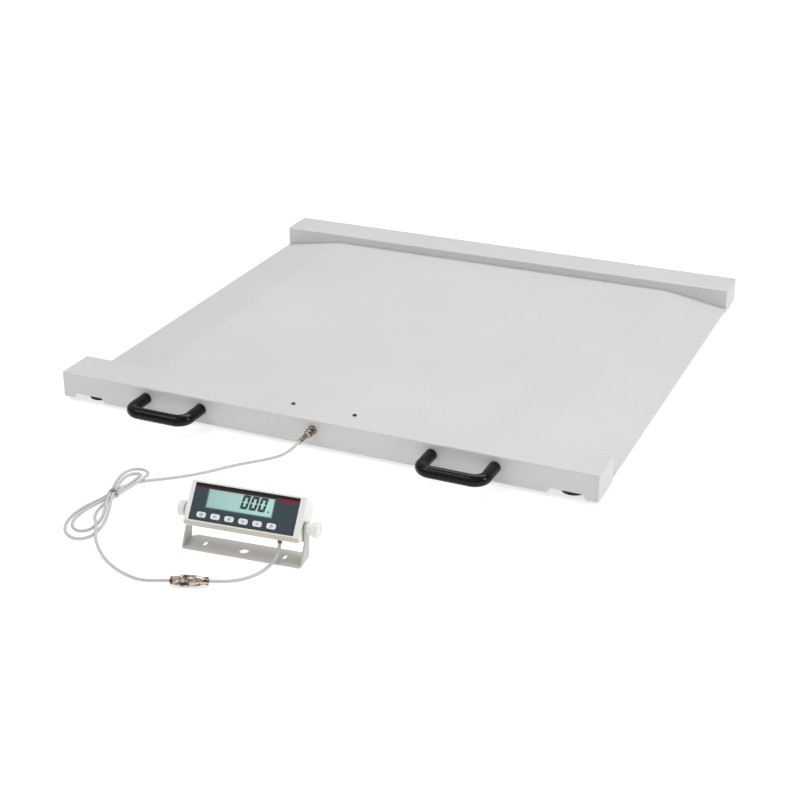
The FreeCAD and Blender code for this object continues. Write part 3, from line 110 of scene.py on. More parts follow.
CAMERA_PLACE = (1.0191, -2.2594, 1.1185)
CAMERA_AZIMUTH = 23.69
CAMERA_ELEVATION = 24.94
CAMERA_LENS = 69.49
SENSOR_WIDTH = 36

# World brightness at the horizon and overhead, and the height at which it is brightest.
HORIZON_LIGHT = 0.36
ZENITH_LIGHT = 0.62
FULL_LIGHT_HEIGHT = 0.75

# The floor glows softly, more so beyond the object, so that it stays pale out to its edge.
FLOOR_SIZE = 30.0
FLOOR_SEGMENTS = 12
NEAR_REACH, FAR_REACH = 1.0, 3.5
NEAR_GLOW, FAR_GLOW = 0.66, 0.9

SHARP_ANGLE = 28.0  # degrees: a CAD edge that turns more than this gets broken
FLAT_ANGLE = 0.4  # degrees: faces that turn less than this are one face
WELD_GAP = 2e-6  # metres: CAD vertices this close are one vertex


# ---------------------------------------------------------------- camera and light
def add_camera():
    azimuth, elevation = math.radians(CAMERA_AZIMUTH), math.radians(CAMERA_ELEVATION)
    forward = Vector((-math.sin(azimuth) * math.cos(elevation),
                      math.cos(azimuth) * math.cos(elevation),
                      -math.sin(elevation)))
    data = bpy.data.cameras.new("Camera")
    data.lens = CAMERA_LENS
    data.sensor_width = SENSOR_WIDTH
    data.clip_end = 100
    camera = bpy.data.objects.new("Camera", data)
    bpy.context.scene.collection.objects.link(camera)
    camera.location = CAMERA_PLACE
    camera.rotation_euler = forward.to_track_quat("-Z", "Y").to_euler()
    bpy.context.scene.camera = camera


def add_softbox(name, place, target, width, depth, power):
    data = bpy.data.lights.new(name, "AREA")
    data.shape = "RECTANGLE"
    data.size = width
    data.size_y = depth
    data.energy = power
    light = bpy.data.objects.new(name, data)
    bpy.context.scene.collection.objects.link(light)
    light.location = place
    light.rotation_euler = (Vector(target) - Vector(place)).to_track_quat("-Z", "Y").to_euler()


def add_world():
    """A bright ceiling that falls off towards the horizon and gives metal something to reflect."""
    world = bpy.data.worlds.new("Studio")
    bpy.context.scene.world = world
    world.use_nodes = True
    tree = world.node_tree
    background = tree.nodes["Background"]
    direction = tree.nodes.new("ShaderNodeTexCoord").outputs["Generated"]
    split = tree.nodes.new("ShaderNodeSeparateXYZ")
    tree.links.new(direction, split.inputs[0])
    fall = tree.nodes.new("ShaderNodeMapRange")
    fall.interpolation_type = "SMOOTHSTEP"
    tree.links.new(split.outputs["Z"], fall.inputs["Value"])
    fall.inputs["From Min"].default_value = 0.0
    fall.inputs["From Max"].default_value = FULL_LIGHT_HEIGHT
    fall.inputs["To Min"].default_value = HORIZON_LIGHT
    fall.inputs["To Max"].default_value = ZENITH_LIGHT
    tree.links.new(fall.outputs["Result"], background.inputs["Strength"])
    background.inputs["Color"].default_value = (1, 1, 1, 1)


def add_light():
    add_world()
    add_softbox("KeySoftbox", (-1.2, -1.3, 2.5), (0, 0, 0), 1.6, 1.6, 21)
    add_softbox("TopSoftbox", (0.2, 0.9, 2.2), (0, -0.1, 0), 2.4, 0.9, 28)
    add_softbox("FrontSoftbox", (0.1, -3.0, 1.6), (0, 0.3, 0), 3.0, 0.9, 4.5)
    add_softbox("SideSoftbox", (2.4, -0.3, 1.0), (0.1, -0.3, 0), 0.6, 1.4, 13)


def add_floor():
    mesh = bpy.data.meshes.new("Floor")
    work = bmesh.new()
    bmesh.ops.create_grid(work, x_segments=FLOOR_SEGMENTS, y_segments=FLOOR_SEGMENTS, size=FLOOR_SIZE)
    work.to_mesh(mesh)
    work.free()
    floor = bpy.data.objects.new("Floor", mesh)
    bpy.context.scene.collection.objects.link(floor)
    paper = Finish("floor_paper")
    paper.colour(paper.mix(paper.noise(2.0), (0.50, 0.50, 0.50), (0.52, 0.52, 0.52)))
    paper.value("Roughness", 0.9)
    paper.value("Emission Color", (1, 1, 1, 1))
    glow = paper.spread(paper.reach(), NEAR_REACH, FAR_REACH, NEAR_GLOW, FAR_GLOW)
    paper.value("Emission Strength", glow)
    paper.bump(paper.noise(400.0, 2), 0.00001)
    mesh.materials.append(paper.material)


# ---------------------------------------------------------------- materials
class Finish:
    """A node material built from the object's own coordinates, in metres."""

    def __init__(self, name):
        self.material = bpy.data.materials.new(name)
        self.material.use_nodes = True
        self.tree = self.material.node_tree
        self.surface = self.tree.nodes["Principled BSDF"]
        self.place = self.tree.nodes.new("ShaderNodeTexCoord").outputs["Object"]
        self.normal = None

    def put(self, socket, value):
        if isinstance(value, bpy.types.NodeSocket):
            self.tree.links.new(value, socket)
        elif isinstance(value, tuple) and len(value) == 3 and len(socket.default_value) == 4:
            socket.default_value = value + (1.0,)
        else:
            socket.default_value = value

    def value(self, name, value):
        self.put(self.surface.inputs[name], value)

    def colour(self, value):
        self.put(self.surface.inputs["Base Color"], value)

    def stretched(self, x, y, z, turn=0.0):
        mapping = self.tree.nodes.new("ShaderNodeMapping")
        self.tree.links.new(self.place, mapping.inputs["Vector"])
        mapping.inputs["Rotation"].default_value = (0, 0, math.radians(turn))
        mapping.inputs["Scale"].default_value = (x, y, z)
        return mapping.outputs["Vector"]

    def noise(self, scale, detail=3.0, place=None, roughness=0.5):
        node = self.tree.nodes.new("ShaderNodeTexNoise")
        self.tree.links.new(place or self.place, node.inputs["Vector"])
        node.inputs["Scale"].default_value = scale
        node.inputs["Detail"].default_value = detail
        node.inputs["Roughness"].default_value = roughness
        return node.outputs["Fac"]

    def reach(self):
        """Distance from the object's origin."""
        node = self.tree.nodes.new("ShaderNodeVectorMath")
        node.operation = "LENGTH"
        self.tree.links.new(self.place, node.inputs[0])
        return node.outputs["Value"]

    def across(self):
        """The object's own X."""
        node = self.tree.nodes.new("ShaderNodeSeparateXYZ")
        self.tree.links.new(self.place, node.inputs[0])
        return node.outputs["X"]

    def cells(self, scale):
        node = self.tree.nodes.new("ShaderNodeTexVoronoi")
        self.tree.links.new(self.place, node.inputs["Vector"])
        node.inputs["Scale"].default_value = scale
        return node.outputs["Distance"]

    def spread(self, value, low, high, to_low, to_high):
        node = self.tree.nodes.new("ShaderNodeMapRange")
        self.put(node.inputs["Value"], value)
        node.inputs["From Min"].default_value = low
        node.inputs["From Max"].default_value = high
        node.inputs["To Min"].default_value = to_low
        node.inputs["To Max"].default_value = to_high
        return node.outputs["Result"]

    def mix(self, factor, first, second):
        node = self.tree.nodes.new("ShaderNodeMix")
        node.data_type = "RGBA"
        self.put(node.inputs[0], factor)
        self.put(node.inputs[6], first)
        self.put(node.inputs[7], second)
        return node.outputs[2]

    def times(self, first, second):
        node = self.tree.nodes.new("ShaderNodeMath")
        node.operation = "MULTIPLY"
        self.put(node.inputs[0], first)
        self.put(node.inputs[1], second)
        return node.outputs[0]

    def bump(self, height, depth, strength=1.0):
        node = self.tree.nodes.new("ShaderNodeBump")
        node.inputs["Distance"].default_value = depth
        node.inputs["Strength"].default_value = strength
        self.put(node.inputs["Height"], height)
        if self.normal:
            self.tree.links.new(self.normal, node.inputs["Normal"])
        self.normal = node.outputs["Normal"]
        self.tree.links.new(self.normal, self.surface.inputs["Normal"])


def shade(colour, factor):
    return tuple(channel * factor for channel in colour)


def powder_coat(name, colour, rough=0.42, scuffs=0.0):
    """Baked powder coat: orange peel, slight tone drift, faint rubbed marks."""
    paint = Finish(name)
    cloud = paint.spread(paint.noise(3.5, 2), 0.3, 0.7, 0, 1)
    drift = paint.mix(cloud, shade(colour, 0.975), shade(colour, 1.015))
    speck = paint.spread(paint.noise(900, 2), 0.62, 0.75, 0, 0.35)
    toned = paint.mix(speck, drift, shade(colour, 0.93))
    if scuffs:
        streak = paint.noise(9, 6, paint.stretched(1, 9, 1, 12), 0.7)
        patch = paint.spread(paint.noise(2.6, 3), 0.5, 0.7, 0, 1)
        mark = paint.times(paint.spread(streak, 0.60, 0.72, 0, scuffs), patch)
        toned = paint.mix(mark, toned, shade(colour, 0.72))
    paint.colour(toned)
    paint.value("Roughness", paint.spread(paint.noise(14, 4), 0.3, 0.7, rough - 0.05, rough + 0.06))
    paint.value("Coat Weight", 0.12)
    paint.value("Coat Roughness", 0.25)
    paint.bump(paint.noise(420, 2), 0.00006, 0.35)
    paint.bump(paint.noise(1500, 1), 0.00002, 0.3)
    return paint.material


def moulded(name, colour, rough=0.4, grain=1400, depth=0.00003, drift=0.03):
    """Moulded plastic with a fine spark-eroded grain."""
    plastic = Finish(name)
    plastic.colour(plastic.mix(plastic.spread(plastic.noise(22, 3), 0.3, 0.7, 0, 1),
                               shade(colour, 1 - drift), shade(colour, 1 + drift / 2)))
    plastic.value("Roughness", plastic.spread(plastic.noise(60, 3), 0.3, 0.7, rough - 0.04, rough + 0.05))
    plastic.bump(plastic.noise(grain, 2), depth, 0.5)
    return plastic.material


def plated(name, colour, rough, tarnish_and_reflection, lines=0.0):
    """Plated metal with dark patches, longest lengthwise, and turning marks if lines is given. The patches
    are a tarnished tone on the lighter metals and painted reflection streaks on nickel.
    """
    metal = Finish(name)
    # Painted reflection: the mask is stretched along the connector's axis like mirrored streaks on a plated
    # cylinder. Its second colour is near black on nickel and a mild tarnished tone on the other metals.
    patch = metal.noise(240, 3, metal.stretched(0.35, 1, 1, -CONNECTOR_YAW))
    patch = metal.spread(patch, 0.47, 0.57, 0, 0.95)
    metal.colour(metal.mix(patch, colour, tarnish_and_reflection))
    metal.value("Metallic", 1.0)
    metal.value("Roughness", metal.spread(metal.noise(500, 3), 0.3, 0.7, rough - 0.05, rough + 0.12))
    metal.bump(metal.noise(1800, 2), 0.00001, 0.6)
    if lines:
        metal.bump(metal.noise(lines, 2, metal.stretched(1, 0.04, 0.04, -CONNECTOR_YAW)), 0.00003, 0.4)
    return metal.material


def rubber(name, colour, rough=0.7):
    """Matt rubber with dust in patches and a fine grain."""
    soft = Finish(name)
    dust = soft.spread(soft.noise(90, 5), 0.55, 0.8, 0, 0.5)
    soft.colour(soft.mix(dust, colour, tuple(c * 0.7 + 0.05 for c in colour)))
    soft.value("Roughness", soft.spread(soft.noise(200, 3), 0.3, 0.7, rough - 0.08, rough + 0.1))
    soft.bump(soft.noise(900, 3), 0.00004, 0.6)
    return soft.material


def gloss_black(name):
    """Thick gloss enamel on a handle, with orange peel and dust in the hollows."""
    enamel = Finish(name)
    enamel.colour(enamel.mix(enamel.spread(enamel.noise(300, 4), 0.6, 0.8, 0, 0.4),
                             (0.0015, 0.0015, 0.002), (0.007, 0.007, 0.0075)))
    enamel.value("Roughness", enamel.spread(enamel.noise(45, 3), 0.3, 0.7, 0.06, 0.14))
    enamel.value("Specular IOR Level", 0.2)
    enamel.bump(enamel.noise(260, 2), 0.00008, 0.4)
    return enamel.material


def cable_jacket(name, colour):
    """PVC jacket: satin, with a faint lay of the cores under it and handling marks."""
    jacket = Finish(name)
    grime = jacket.spread(jacket.noise(55, 5), 0.55, 0.8, 0, 0.35)
    jacket.colour(jacket.mix(grime, colour, shade(colour, 0.82)))
    jacket.value("Roughness", jacket.spread(jacket.noise(120, 3), 0.3, 0.7, 0.3, 0.42))
    jacket.value("Subsurface Weight", 0.04)
    jacket.value("Subsurface Radius", (0.002, 0.002, 0.002))
    jacket.bump(jacket.noise(70, 1), 0.0001, 0.35)
    jacket.bump(jacket.noise(1400, 2), 0.00001, 0.5)
    return jacket.material


def liquid_crystal(name):
    """The display's pale backlit panel: an even tint with a slight glow towards one side."""
    panel = Finish(name)
    cloud = panel.spread(panel.noise(18, 2), 0.3, 0.7, 0.94, 1.0)
    side = panel.spread(panel.across(), 0.0, 0.09, 0.0, 1.0)
    lit = panel.mix(side, (0.31, 0.52, 0.48), (0.42, 0.70, 0.65))
    panel.colour(panel.mix(cloud, (0.28, 0.46, 0.42), lit))
    panel.value("Roughness", panel.spread(panel.noise(40, 2), 0.3, 0.7, 0.16, 0.22))
    panel.value("Coat Weight", 0.35)
    panel.value("Coat Roughness", 0.08)
    panel.value("Emission Color", (0.42, 0.72, 0.66, 1.0))
    panel.value("Emission Strength", 0.08)
    panel.bump(panel.noise(2600, 1), 0.000004, 0.4)
    return panel.material


def printed_film(name, colour, rough=0.38, gloss=0.5):
    """Screen-printed polyester film with a fine satin texture."""
    film = Finish(name)
    cloud = film.spread(film.noise(30, 4), 0.3, 0.7, 0, 1)
    film.colour(film.mix(cloud, shade(colour, 0.94), shade(colour, 1.05)))
    film.value("Roughness", film.spread(film.noise(80, 3), 0.3, 0.7, rough - 0.04, rough + 0.06))
    film.value("Specular IOR Level", gloss)
    film.bump(film.cells(2400), 0.000012, 0.5)
    return film.material


def make_finishes():
    grey = (0.575, 0.573, 0.566)
    return {
        "deck_paint": powder_coat("deck_paint", grey, 0.44, 0.16),
        "curb_paint": powder_coat("curb_paint", grey, 0.42),
        "under_paint": powder_coat("under_paint", (0.52, 0.52, 0.51), 0.55),
        "cell_aluminium": plated("cell_aluminium", (0.72, 0.73, 0.74), 0.34, (0.62, 0.63, 0.64), 300),
        "zinc_steel": plated("zinc_steel", (0.62, 0.62, 0.6), 0.32, (0.5, 0.49, 0.44)),
        "foot_rubber": rubber("foot_rubber", (0.018, 0.018, 0.019)),
        "box_plastic": moulded("box_plastic", (0.36, 0.37, 0.38), 0.5),
        "board_green": moulded("board_green", (0.03, 0.16, 0.07), 0.35, 700),
        "cable_grey": cable_jacket("cable_grey", (0.53, 0.53, 0.53)),
        "tie_nylon": moulded("tie_nylon", (0.27, 0.27, 0.265), 0.4, 900),
        "gland_nylon": moulded("gland_nylon", (0.12, 0.12, 0.12), 0.45, 900),
        # The near-black second colour is painted reflection: dark streaks lengthwise on the nickel plating.
        "nickel": plated("nickel", (0.53, 0.46, 0.39), 0.13, (0.045, 0.03, 0.022)),
        "handle_black": gloss_black("handle_black"),
        "screw_dark": plated("screw_dark", (0.10, 0.10, 0.105), 0.38, (0.05, 0.045, 0.04)),
        "wheel_grey": moulded("wheel_grey", (0.10, 0.10, 0.105), 0.55, 900),
        "bracket_paint": powder_coat("bracket_paint", (0.53, 0.51, 0.48), 0.46),
        "case_plastic": moulded("case_plastic", (0.80, 0.795, 0.765), 0.36),
        "face_dark": printed_film("face_dark", (0.014, 0.036, 0.050), 0.46),
        "lcd_glass": liquid_crystal("lcd_glass"),
        "mat_rubber": rubber("mat_rubber", (0.25, 0.26, 0.27)),
        "battery_wrap": moulded("battery_wrap", (0.05, 0.12, 0.35), 0.3, 600),
        "key_white": printed_film("key_white", (0.80, 0.80, 0.79), 0.34),
        "knob_cream": moulded("knob_cream", (0.79, 0.775, 0.74), 0.36),
        "bush_black": moulded("bush_black", (0.02, 0.02, 0.021), 0.5, 900),
        # Darker cream for the housing's lower bevel: painted shade.
        "case_painted_shade": moulded("case_painted_shade", (0.57, 0.54, 0.44), 0.4),
        "strip_black": printed_film("strip_black", (0.008, 0.007, 0.011), 0.5, 0.2),
        "line_maroon": printed_film("line_maroon", (0.10, 0.008, 0.016), 0.5, 0.2),
        "lcd_segment": printed_film("lcd_segment", (0.012, 0.022, 0.026), 0.22),
        "lcd_bezel": printed_film("lcd_bezel", (0.10, 0.16, 0.17), 0.3),
        "icon_grey": printed_film("icon_grey", (0.085, 0.088, 0.10)),
        "accent_red": printed_film("accent_red", (0.26, 0.012, 0.022), 0.5, 0.2),
    }


# ---------------------------------------------------------------- pieces
def add_piece(name, mesh, body, slot, look=None):
    """A piece in the row frame that rides on a body and takes its finish from a slot."""
    piece = bpy.data.objects.new(name, mesh)
    bpy.context.scene.collection.objects.link(piece)
    mesh.materials.clear()
    mesh.materials.append(FINISHES[look or slot])
    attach(piece, body)
    return piece


def keep_flat_faces(piece):
    """Smooth shading in which the large flat faces stay flat and only their broken edges turn."""
    for polygon in piece.data.polygons:
        polygon.use_smooth = True
    normals = piece.modifiers.new("FlatFaces", "WEIGHTED_NORMAL")
    normals.weight = 100
    normals.keep_sharp = True


def refined(node, edge=0.3, segments=2, look=None, soft=None):
    """The CAD node's own shape with its edges broken by edge millimetres.

    soft is for wide bends: the least and the greatest angle in degrees, and the bend's half width.
    """
    source = NODES[node]
    work = bmesh.new()
    work.from_mesh(source.data)
    bmesh.ops.remove_doubles(work, verts=work.verts, dist=WELD_GAP)
    bmesh.ops.dissolve_limit(work, angle_limit=math.radians(FLAT_ANGLE), verts=work.verts,
                             edges=work.edges, use_dissolve_boundaries=False)
    if soft:
        low, high, width = soft
        bends = [e for e in work.edges if len(e.link_faces) == 2
                 and math.radians(low) < e.calc_face_angle(0) < math.radians(high)]
        bmesh.ops.bevel(work, geom=bends, offset=width * MM, offset_type="OFFSET", segments=5, profile=0.5,
                        affect="EDGES", clamp_overlap=False)
    corners = [e for e in work.edges if len(e.link_faces) == 2
               and e.calc_face_angle(0) > math.radians(SHARP_ANGLE)]
    bmesh.ops.bevel(work, geom=corners, offset=edge * MM, offset_type="OFFSET", segments=segments,
                    profile=0.5, affect="EDGES", clamp_overlap=True)
    mesh = bpy.data.meshes.new(node + "_shape")
    work.to_mesh(mesh)
    work.free()
    stale = mesh.attributes.get("custom_normal")
    if stale:
        mesh.attributes.remove(stale)
    piece = add_piece(node + "_piece", mesh, body_of(source)[0], SLOTS[node], look)
    keep_flat_faces(piece)
    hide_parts(node)
    return piece


def mesh_from(name, points, faces, matrix=None):
    mesh = bpy.data.meshes.new(name)
    mesh.from_pydata([tuple(p) for p in points], [], faces)
    mesh.validate()
    work = bmesh.new()
    work.from_mesh(mesh)
    bmesh.ops.recalc_face_normals(work, faces=work.faces)
    work.to_mesh(mesh)
    work.free()
    if matrix:
        mesh.transform(matrix)
    return mesh


def lathe(name, profile, matrix, around, ribs, rib_depth, rib_span):
    """A turned part about the X axis with knurls along it. profile is a closed loop of (x, radius).

    rib_span holds the knurled length's two ends and the radius beyond which it is knurled.
    """
    points, faces = [], []
    count = len(profile)
    start, stop, beyond = rib_span
    for step in range(around):
        angle = 2 * math.pi * step / around
        wave = 0.5 + 0.5 * math.cos(angle * ribs)
        for x, radius in profile:
            cut = rib_depth * wave if start < x < stop and radius > beyond else 0
            reach = (radius - cut) * MM
            points.append((x * MM, reach * math.cos(angle), reach * math.sin(angle)))
    for step in range(around):
        following = (step + 1) % around
        for i in range(count):
            j = (i + 1) % count
            faces.append((step * count + i, step * count + j,
                          following * count + j, following * count + i))
    return mesh_from(name, points, faces, matrix)


def rounded_outline(width, height, radius, x=0.0, z=0.0, steps=5):
    """Corners of a rounded rectangle, anticlockwise."""
    points = []
    for sx, sz, start in ((1, 1, 0), (-1, 1, 90), (-1, -1, 180), (1, -1, 270)):
        for step in range(steps + 1):
            angle = math.radians(start + 90 * step / steps)
            points.append((x + sx * (width / 2 - radius) + radius * math.cos(angle),
                           z + sz * (height / 2 - radius) + radius * math.sin(angle)))
    return points


def circle_outline(radius, steps=28):
    turns = [2 * math.pi * i / steps for i in range(steps)]
    return [(radius * math.cos(turn), radius * math.sin(turn)) for turn in turns]


def printed(name, shapes, face_y, body, slot, look, thickness=0.06):
    """Thin ink shapes on the display's face. A shape is an outline, or an outline and its hole."""
    points, faces = [], []
    front, back = (face_y - thickness) * MM, face_y * MM
    for shape in shapes:
        outer, inner = shape if isinstance(shape, tuple) else (shape, None)
        first, count = len(points), len(outer)
        points += [(x * MM, front, z * MM) for x, z in outer] + [(x * MM, back, z * MM) for x, z in outer]
        if inner is None:
            faces.append(tuple(first + i for i in range(count)))
            faces.append(tuple(first + count + i for i in reversed(range(count))))
        else:
            hole = len(points)
            points += [(x * MM, front, z * MM) for x, z in inner] + [(x * MM, back, z * MM) for x, z in inner]
            for i in range(count):
                j = (i + 1) % count
                faces.append((first + i, first + j, hole + j, hole + i))
                faces.append((first + count + i, hole + count + i, hole + count + j, first + count + j))
                faces.append((hole + i, hole + j, hole + count + j, hole + count + i))
        for i in range(count):
            j = (i + 1) % count
            faces.append((first + i, first + count + i, first + count + j, first + j))
    mesh = mesh_from(name, points, faces, IN_HOUSING)
    return add_piece(name, mesh, body, slot, look)


# ---------------------------------------------------------------- cords
# Route points of the free cable, from the platform's centre and the floor.
FROM_GLAND = [
    (0, -503, 34.5), (-1.2, -514, 32.3), (-7, -524, 26.5), (-17, -531, 20), (-33, -535, 13.5),
    (-50, -539, 8), (-66, -546, 4.5), (-82, -558, 2.9), (-95, -573, 2.7), (-112, -597, 2.7),
    (-133, -620, 2.7), (-157, -641, 2.8), (-173.5, -653, 2.7), (-187, -663, 2.6),
]
OUTER_LOWER_LOOP = [
    (-199, -675, 2.6), (-206, -691, 2.9), (-209.5, -707, 3.6), (-211, -722, 4.0), (-214, -737, 3.6),
    (-221, -755, 2.8), (-226, -778, 2.6), (-226, -800, 2.6), (-221, -822, 2.6), (-210, -841, 2.6),
    (-195, -852, 2.6), (-180, -854, 2.6), (-169, -846, 2.6), (-164.5, -832, 2.6), (-166, -815, 2.6),
    (-171, -796, 2.6), (-179, -776, 2.8), (-187, -758, 4.6), (-194, -744, 7.2), (-199, -733, 8.6),
]
INNER_UPPER_LOOP = [
    (-202.2, -722, 8.8), (-207.5, -707, 8.6), (-213.5, -692, 6.2), (-219, -677, 3.2), (-221.5, -662, 2.6),
    (-217, -650, 2.6), (-208, -646, 3.0), (-200, -651, 5.0), (-196.5, -662, 7.6), (-196.5, -676, 7.8),
    (-199, -691, 6.4), (-202.5, -707, 4.6),
]
INNER_LOWER_LOOP = [
    (-205, -722, 4.0), (-208.5, -738, 3.7), (-214.5, -758, 2.8), (-218.5, -782, 2.6), (-217.5, -806, 2.6),
    (-209.5, -824, 2.6), (-197, -833, 2.6), (-185, -832, 2.6), (-177.5, -821, 2.6), (-177.5, -803, 2.6),
    (-182.5, -784, 2.7), (-190, -766, 4.8), (-197, -750, 8.2), (-203, -736, 8.8),
]
OUTER_UPPER_LOOP = [
    (-207.8, -722, 8.8), (-213, -708, 8.6), (-220, -692, 6.2), (-227, -675, 3.2), (-230.5, -657, 2.6),
    (-228, -641, 2.6), (-218.5, -632, 2.6), (-206, -631, 2.6), (-195, -638, 3.2), (-188.5, -649, 6.4),
    (-187.5, -662, 7.8), (-189.5, -677, 7.4), (-194, -695, 5.4), (-198, -710, 4.4),
]
TO_CONNECTOR = [
    (-199.3, -722, 4.0), (-201, -737, 3.6), (-202, -752, 3.2), (-200.5, -767, 3.0), (-195.5, -782, 4.6),
    (-188, -796, 7.6), (-180, -806, 8.2), (-171, -817, 8.2), (-163.5, -829, 7.8), (-155.5, -843, 4.8),
    (-140, -860, 2.9), (-116, -882, 2.7), (-90, -898, 2.7), (-62, -909, 2.7), (-36, -914, 3.6),
    (-16, -912.5, 6.5), (-3, -909.2, 8.4), (7.2, -905.12, 8.4),
]
DISPLAY_CABLE = [
    (111.85, -781.5, 28.9), (112, -783.7, 23.4), (112.2, -786.7, 16), (112.2, -792.6, 10.2),
    (111.6, -800.8, 7.1), (110.4, -812.5, 5), (107.4, -825.5, 3.4),
    (102, -838.5, 2.9), (94.5, -851.5, 2.9), (85.3, -863.2, 3.9), (76.2, -873.6, 6.2),
    (67.6, -881.1, 8.4), (56.5, -885.5, 8.4),
]


def spline_object(name, route, radius, smooth=10):
    """A curve of one open NURBS spline whose control points are the route's."""
    curve = bpy.data.curves.new(name, "CURVE")
    curve.dimensions = "3D"
    spline = curve.splines.new("NURBS")
    spline.points.add(len(route) - 1)
    for point, place in zip(spline.points, route):
        point.co = (*at(*place), 1.0)
    spline.order_u = 3
    spline.use_endpoint_u = True
    spline.resolution_u = smooth
    spline.use_smooth = True
    curve.bevel_depth = radius * MM
    curve.bevel_resolution = 6
    curve.use_fill_caps = True
    piece = bpy.data.objects.new(name, curve)
    bpy.context.scene.collection.objects.link(piece)
    return piece


def spline_points(route):
    """The points of the route's NURBS spline, read from a curve with no bevel."""
    guide = spline_object("RouteGuide", route, 0.0, 12)
    bpy.context.view_layer.update()
    mesh = bpy.data.meshes.new_from_object(guide.evaluated_get(bpy.context.evaluated_depsgraph_get()))
    line = [vertex.co.copy() for vertex in mesh.vertices]
    bpy.data.objects.remove(guide)
    bpy.data.meshes.remove(mesh)
    return line


def tube_mesh(name, line, radius, around=20):
    """A round tube with closed ends along a line of points."""
    points, faces = [], []
    side = Vector((1, 0, 0))
    for i, place in enumerate(line):
        way = (line[min(i + 1, len(line) - 1)] - line[max(i - 1, 0)]).normalized()
        side = (side - way * side.dot(way)).normalized()
        up = way.cross(side)
        for step in range(around):
            angle = 2 * math.pi * step / around
            points.append(place + (side * math.cos(angle) + up * math.sin(angle)) * radius * MM)
    for i in range(len(line) - 1):
        for step in range(around):
            following = (step + 1) % around
            faces.append((i * around + step, i * around + following,
                          (i + 1) * around + following, (i + 1) * around + step))
    last = (len(line) - 1) * around
    faces.append(tuple(reversed(range(around))))
    faces.append(tuple(last + step for step in range(around)))
    return mesh_from(name, points, faces)


def length_of(line):
    return sum((b - a).length for a, b in zip(line, line[1:]))


def make_cords():
    route = (FROM_GLAND + OUTER_LOWER_LOOP + INNER_UPPER_LOOP + INNER_LOWER_LOOP + OUTER_UPPER_LOOP
             + TO_CONNECTOR)
    long = length_of(spline_points(route))
    cable = spline_object("platform_lead", route, CABLE_RADIUS)
    cable.data.materials.append(FINISHES["cable_grey"])
    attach(cable, "root")
    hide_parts("platform_cable", "cable_hank", "connector_cable")
    tie = make_tie()

    line = spline_points(DISPLAY_CABLE)
    mesh = tube_mesh("display_lead", line, CABLE_RADIUS)
    lead = bpy.data.objects.new("display_lead", mesh)
    bpy.context.scene.collection.objects.link(lead)
    for polygon in mesh.polygons:
        polygon.use_smooth = len(polygon.vertices) == 4
    mesh.materials.append(FINISHES["cable_grey"])
    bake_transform(lead, "display", "root", start=at(112, -784, 23), end=at(111.5, -803, 7))
    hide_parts("display_cable")


# Where the strap turns round the bundle: centre of the cable there, and the angles it hugs.
TIE_TURNS = [(-199.3, 4.0, -90, 31), (-202.2, 8.8, 31, 90), (-207.8, 8.8, 90, 150), (-211, 4.0, 150, 270)]


def make_tie():
    """A nylon tie: a strap that hugs the bundle, its ratchet head on top and the cut tail."""
    strap, width = 0.8, 3.2
    reach = CABLE_RADIUS + strap / 2
    outline = []
    for x, z, start, stop in TIE_TURNS:
        for step in range(7):
            angle = math.radians(start + (stop - start) * step / 6)
            outline.append((x + reach * math.cos(angle), z + reach * math.sin(angle)))
    centre = at(0, -722, 0)
    work = bmesh.new()
    rings = []
    for index, (x, z) in enumerate(outline):
        before, after = outline[index - 1], outline[(index + 1) % len(outline)]
        along = Vector((after[0] - before[0], 0, after[1] - before[1])).normalized()
        out = Vector((along.z, 0, -along.x))
        ring = []
        for across, depth in ((-1, -1), (1, -1), (1, 1), (-1, 1)):
            place = Vector((x, across * width / 2, z)) + out * depth * strap / 2
            ring.append(work.verts.new(centre + place * MM))
        rings.append(ring)
    for ring, following in zip(rings, rings[1:] + rings[:1]):
        for i in range(4):
            j = (i + 1) % 4
            work.faces.new((ring[i], ring[j], following[j], following[i]))

    def block(size, place, turn=0.0):
        made = bmesh.ops.create_cube(work, size=1.0)["verts"]
        bmesh.ops.scale(work, verts=made, vec=[s * MM for s in size])
        about = Matrix.Rotation(math.radians(turn), 3, "Y")
        bmesh.ops.rotate(work, verts=made, cent=(0, 0, 0), matrix=about)
        bmesh.ops.translate(work, verts=made, vec=centre + Vector(place) * MM)

    block((4.4, 4.6, 3.0), (-204.4, 0, 13.0))
    block((8.0, 2.6, 0.9), (-199.6, 0.2, 13.2), 8)
    bmesh.ops.recalc_face_normals(work, faces=work.faces)
    mesh = bpy.data.meshes.new("tie")
    work.to_mesh(mesh)
    work.free()
    piece = add_piece("cable_tie_piece", mesh, "root", "tie_nylon")
    rounding = piece.modifiers.new("Rounding", "BEVEL")
    rounding.width = 0.25 * MM
    rounding.segments = 2
    rounding.limit_method = "ANGLE"
    keep_flat_faces(piece)
    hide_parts("cable_tie")
    return piece


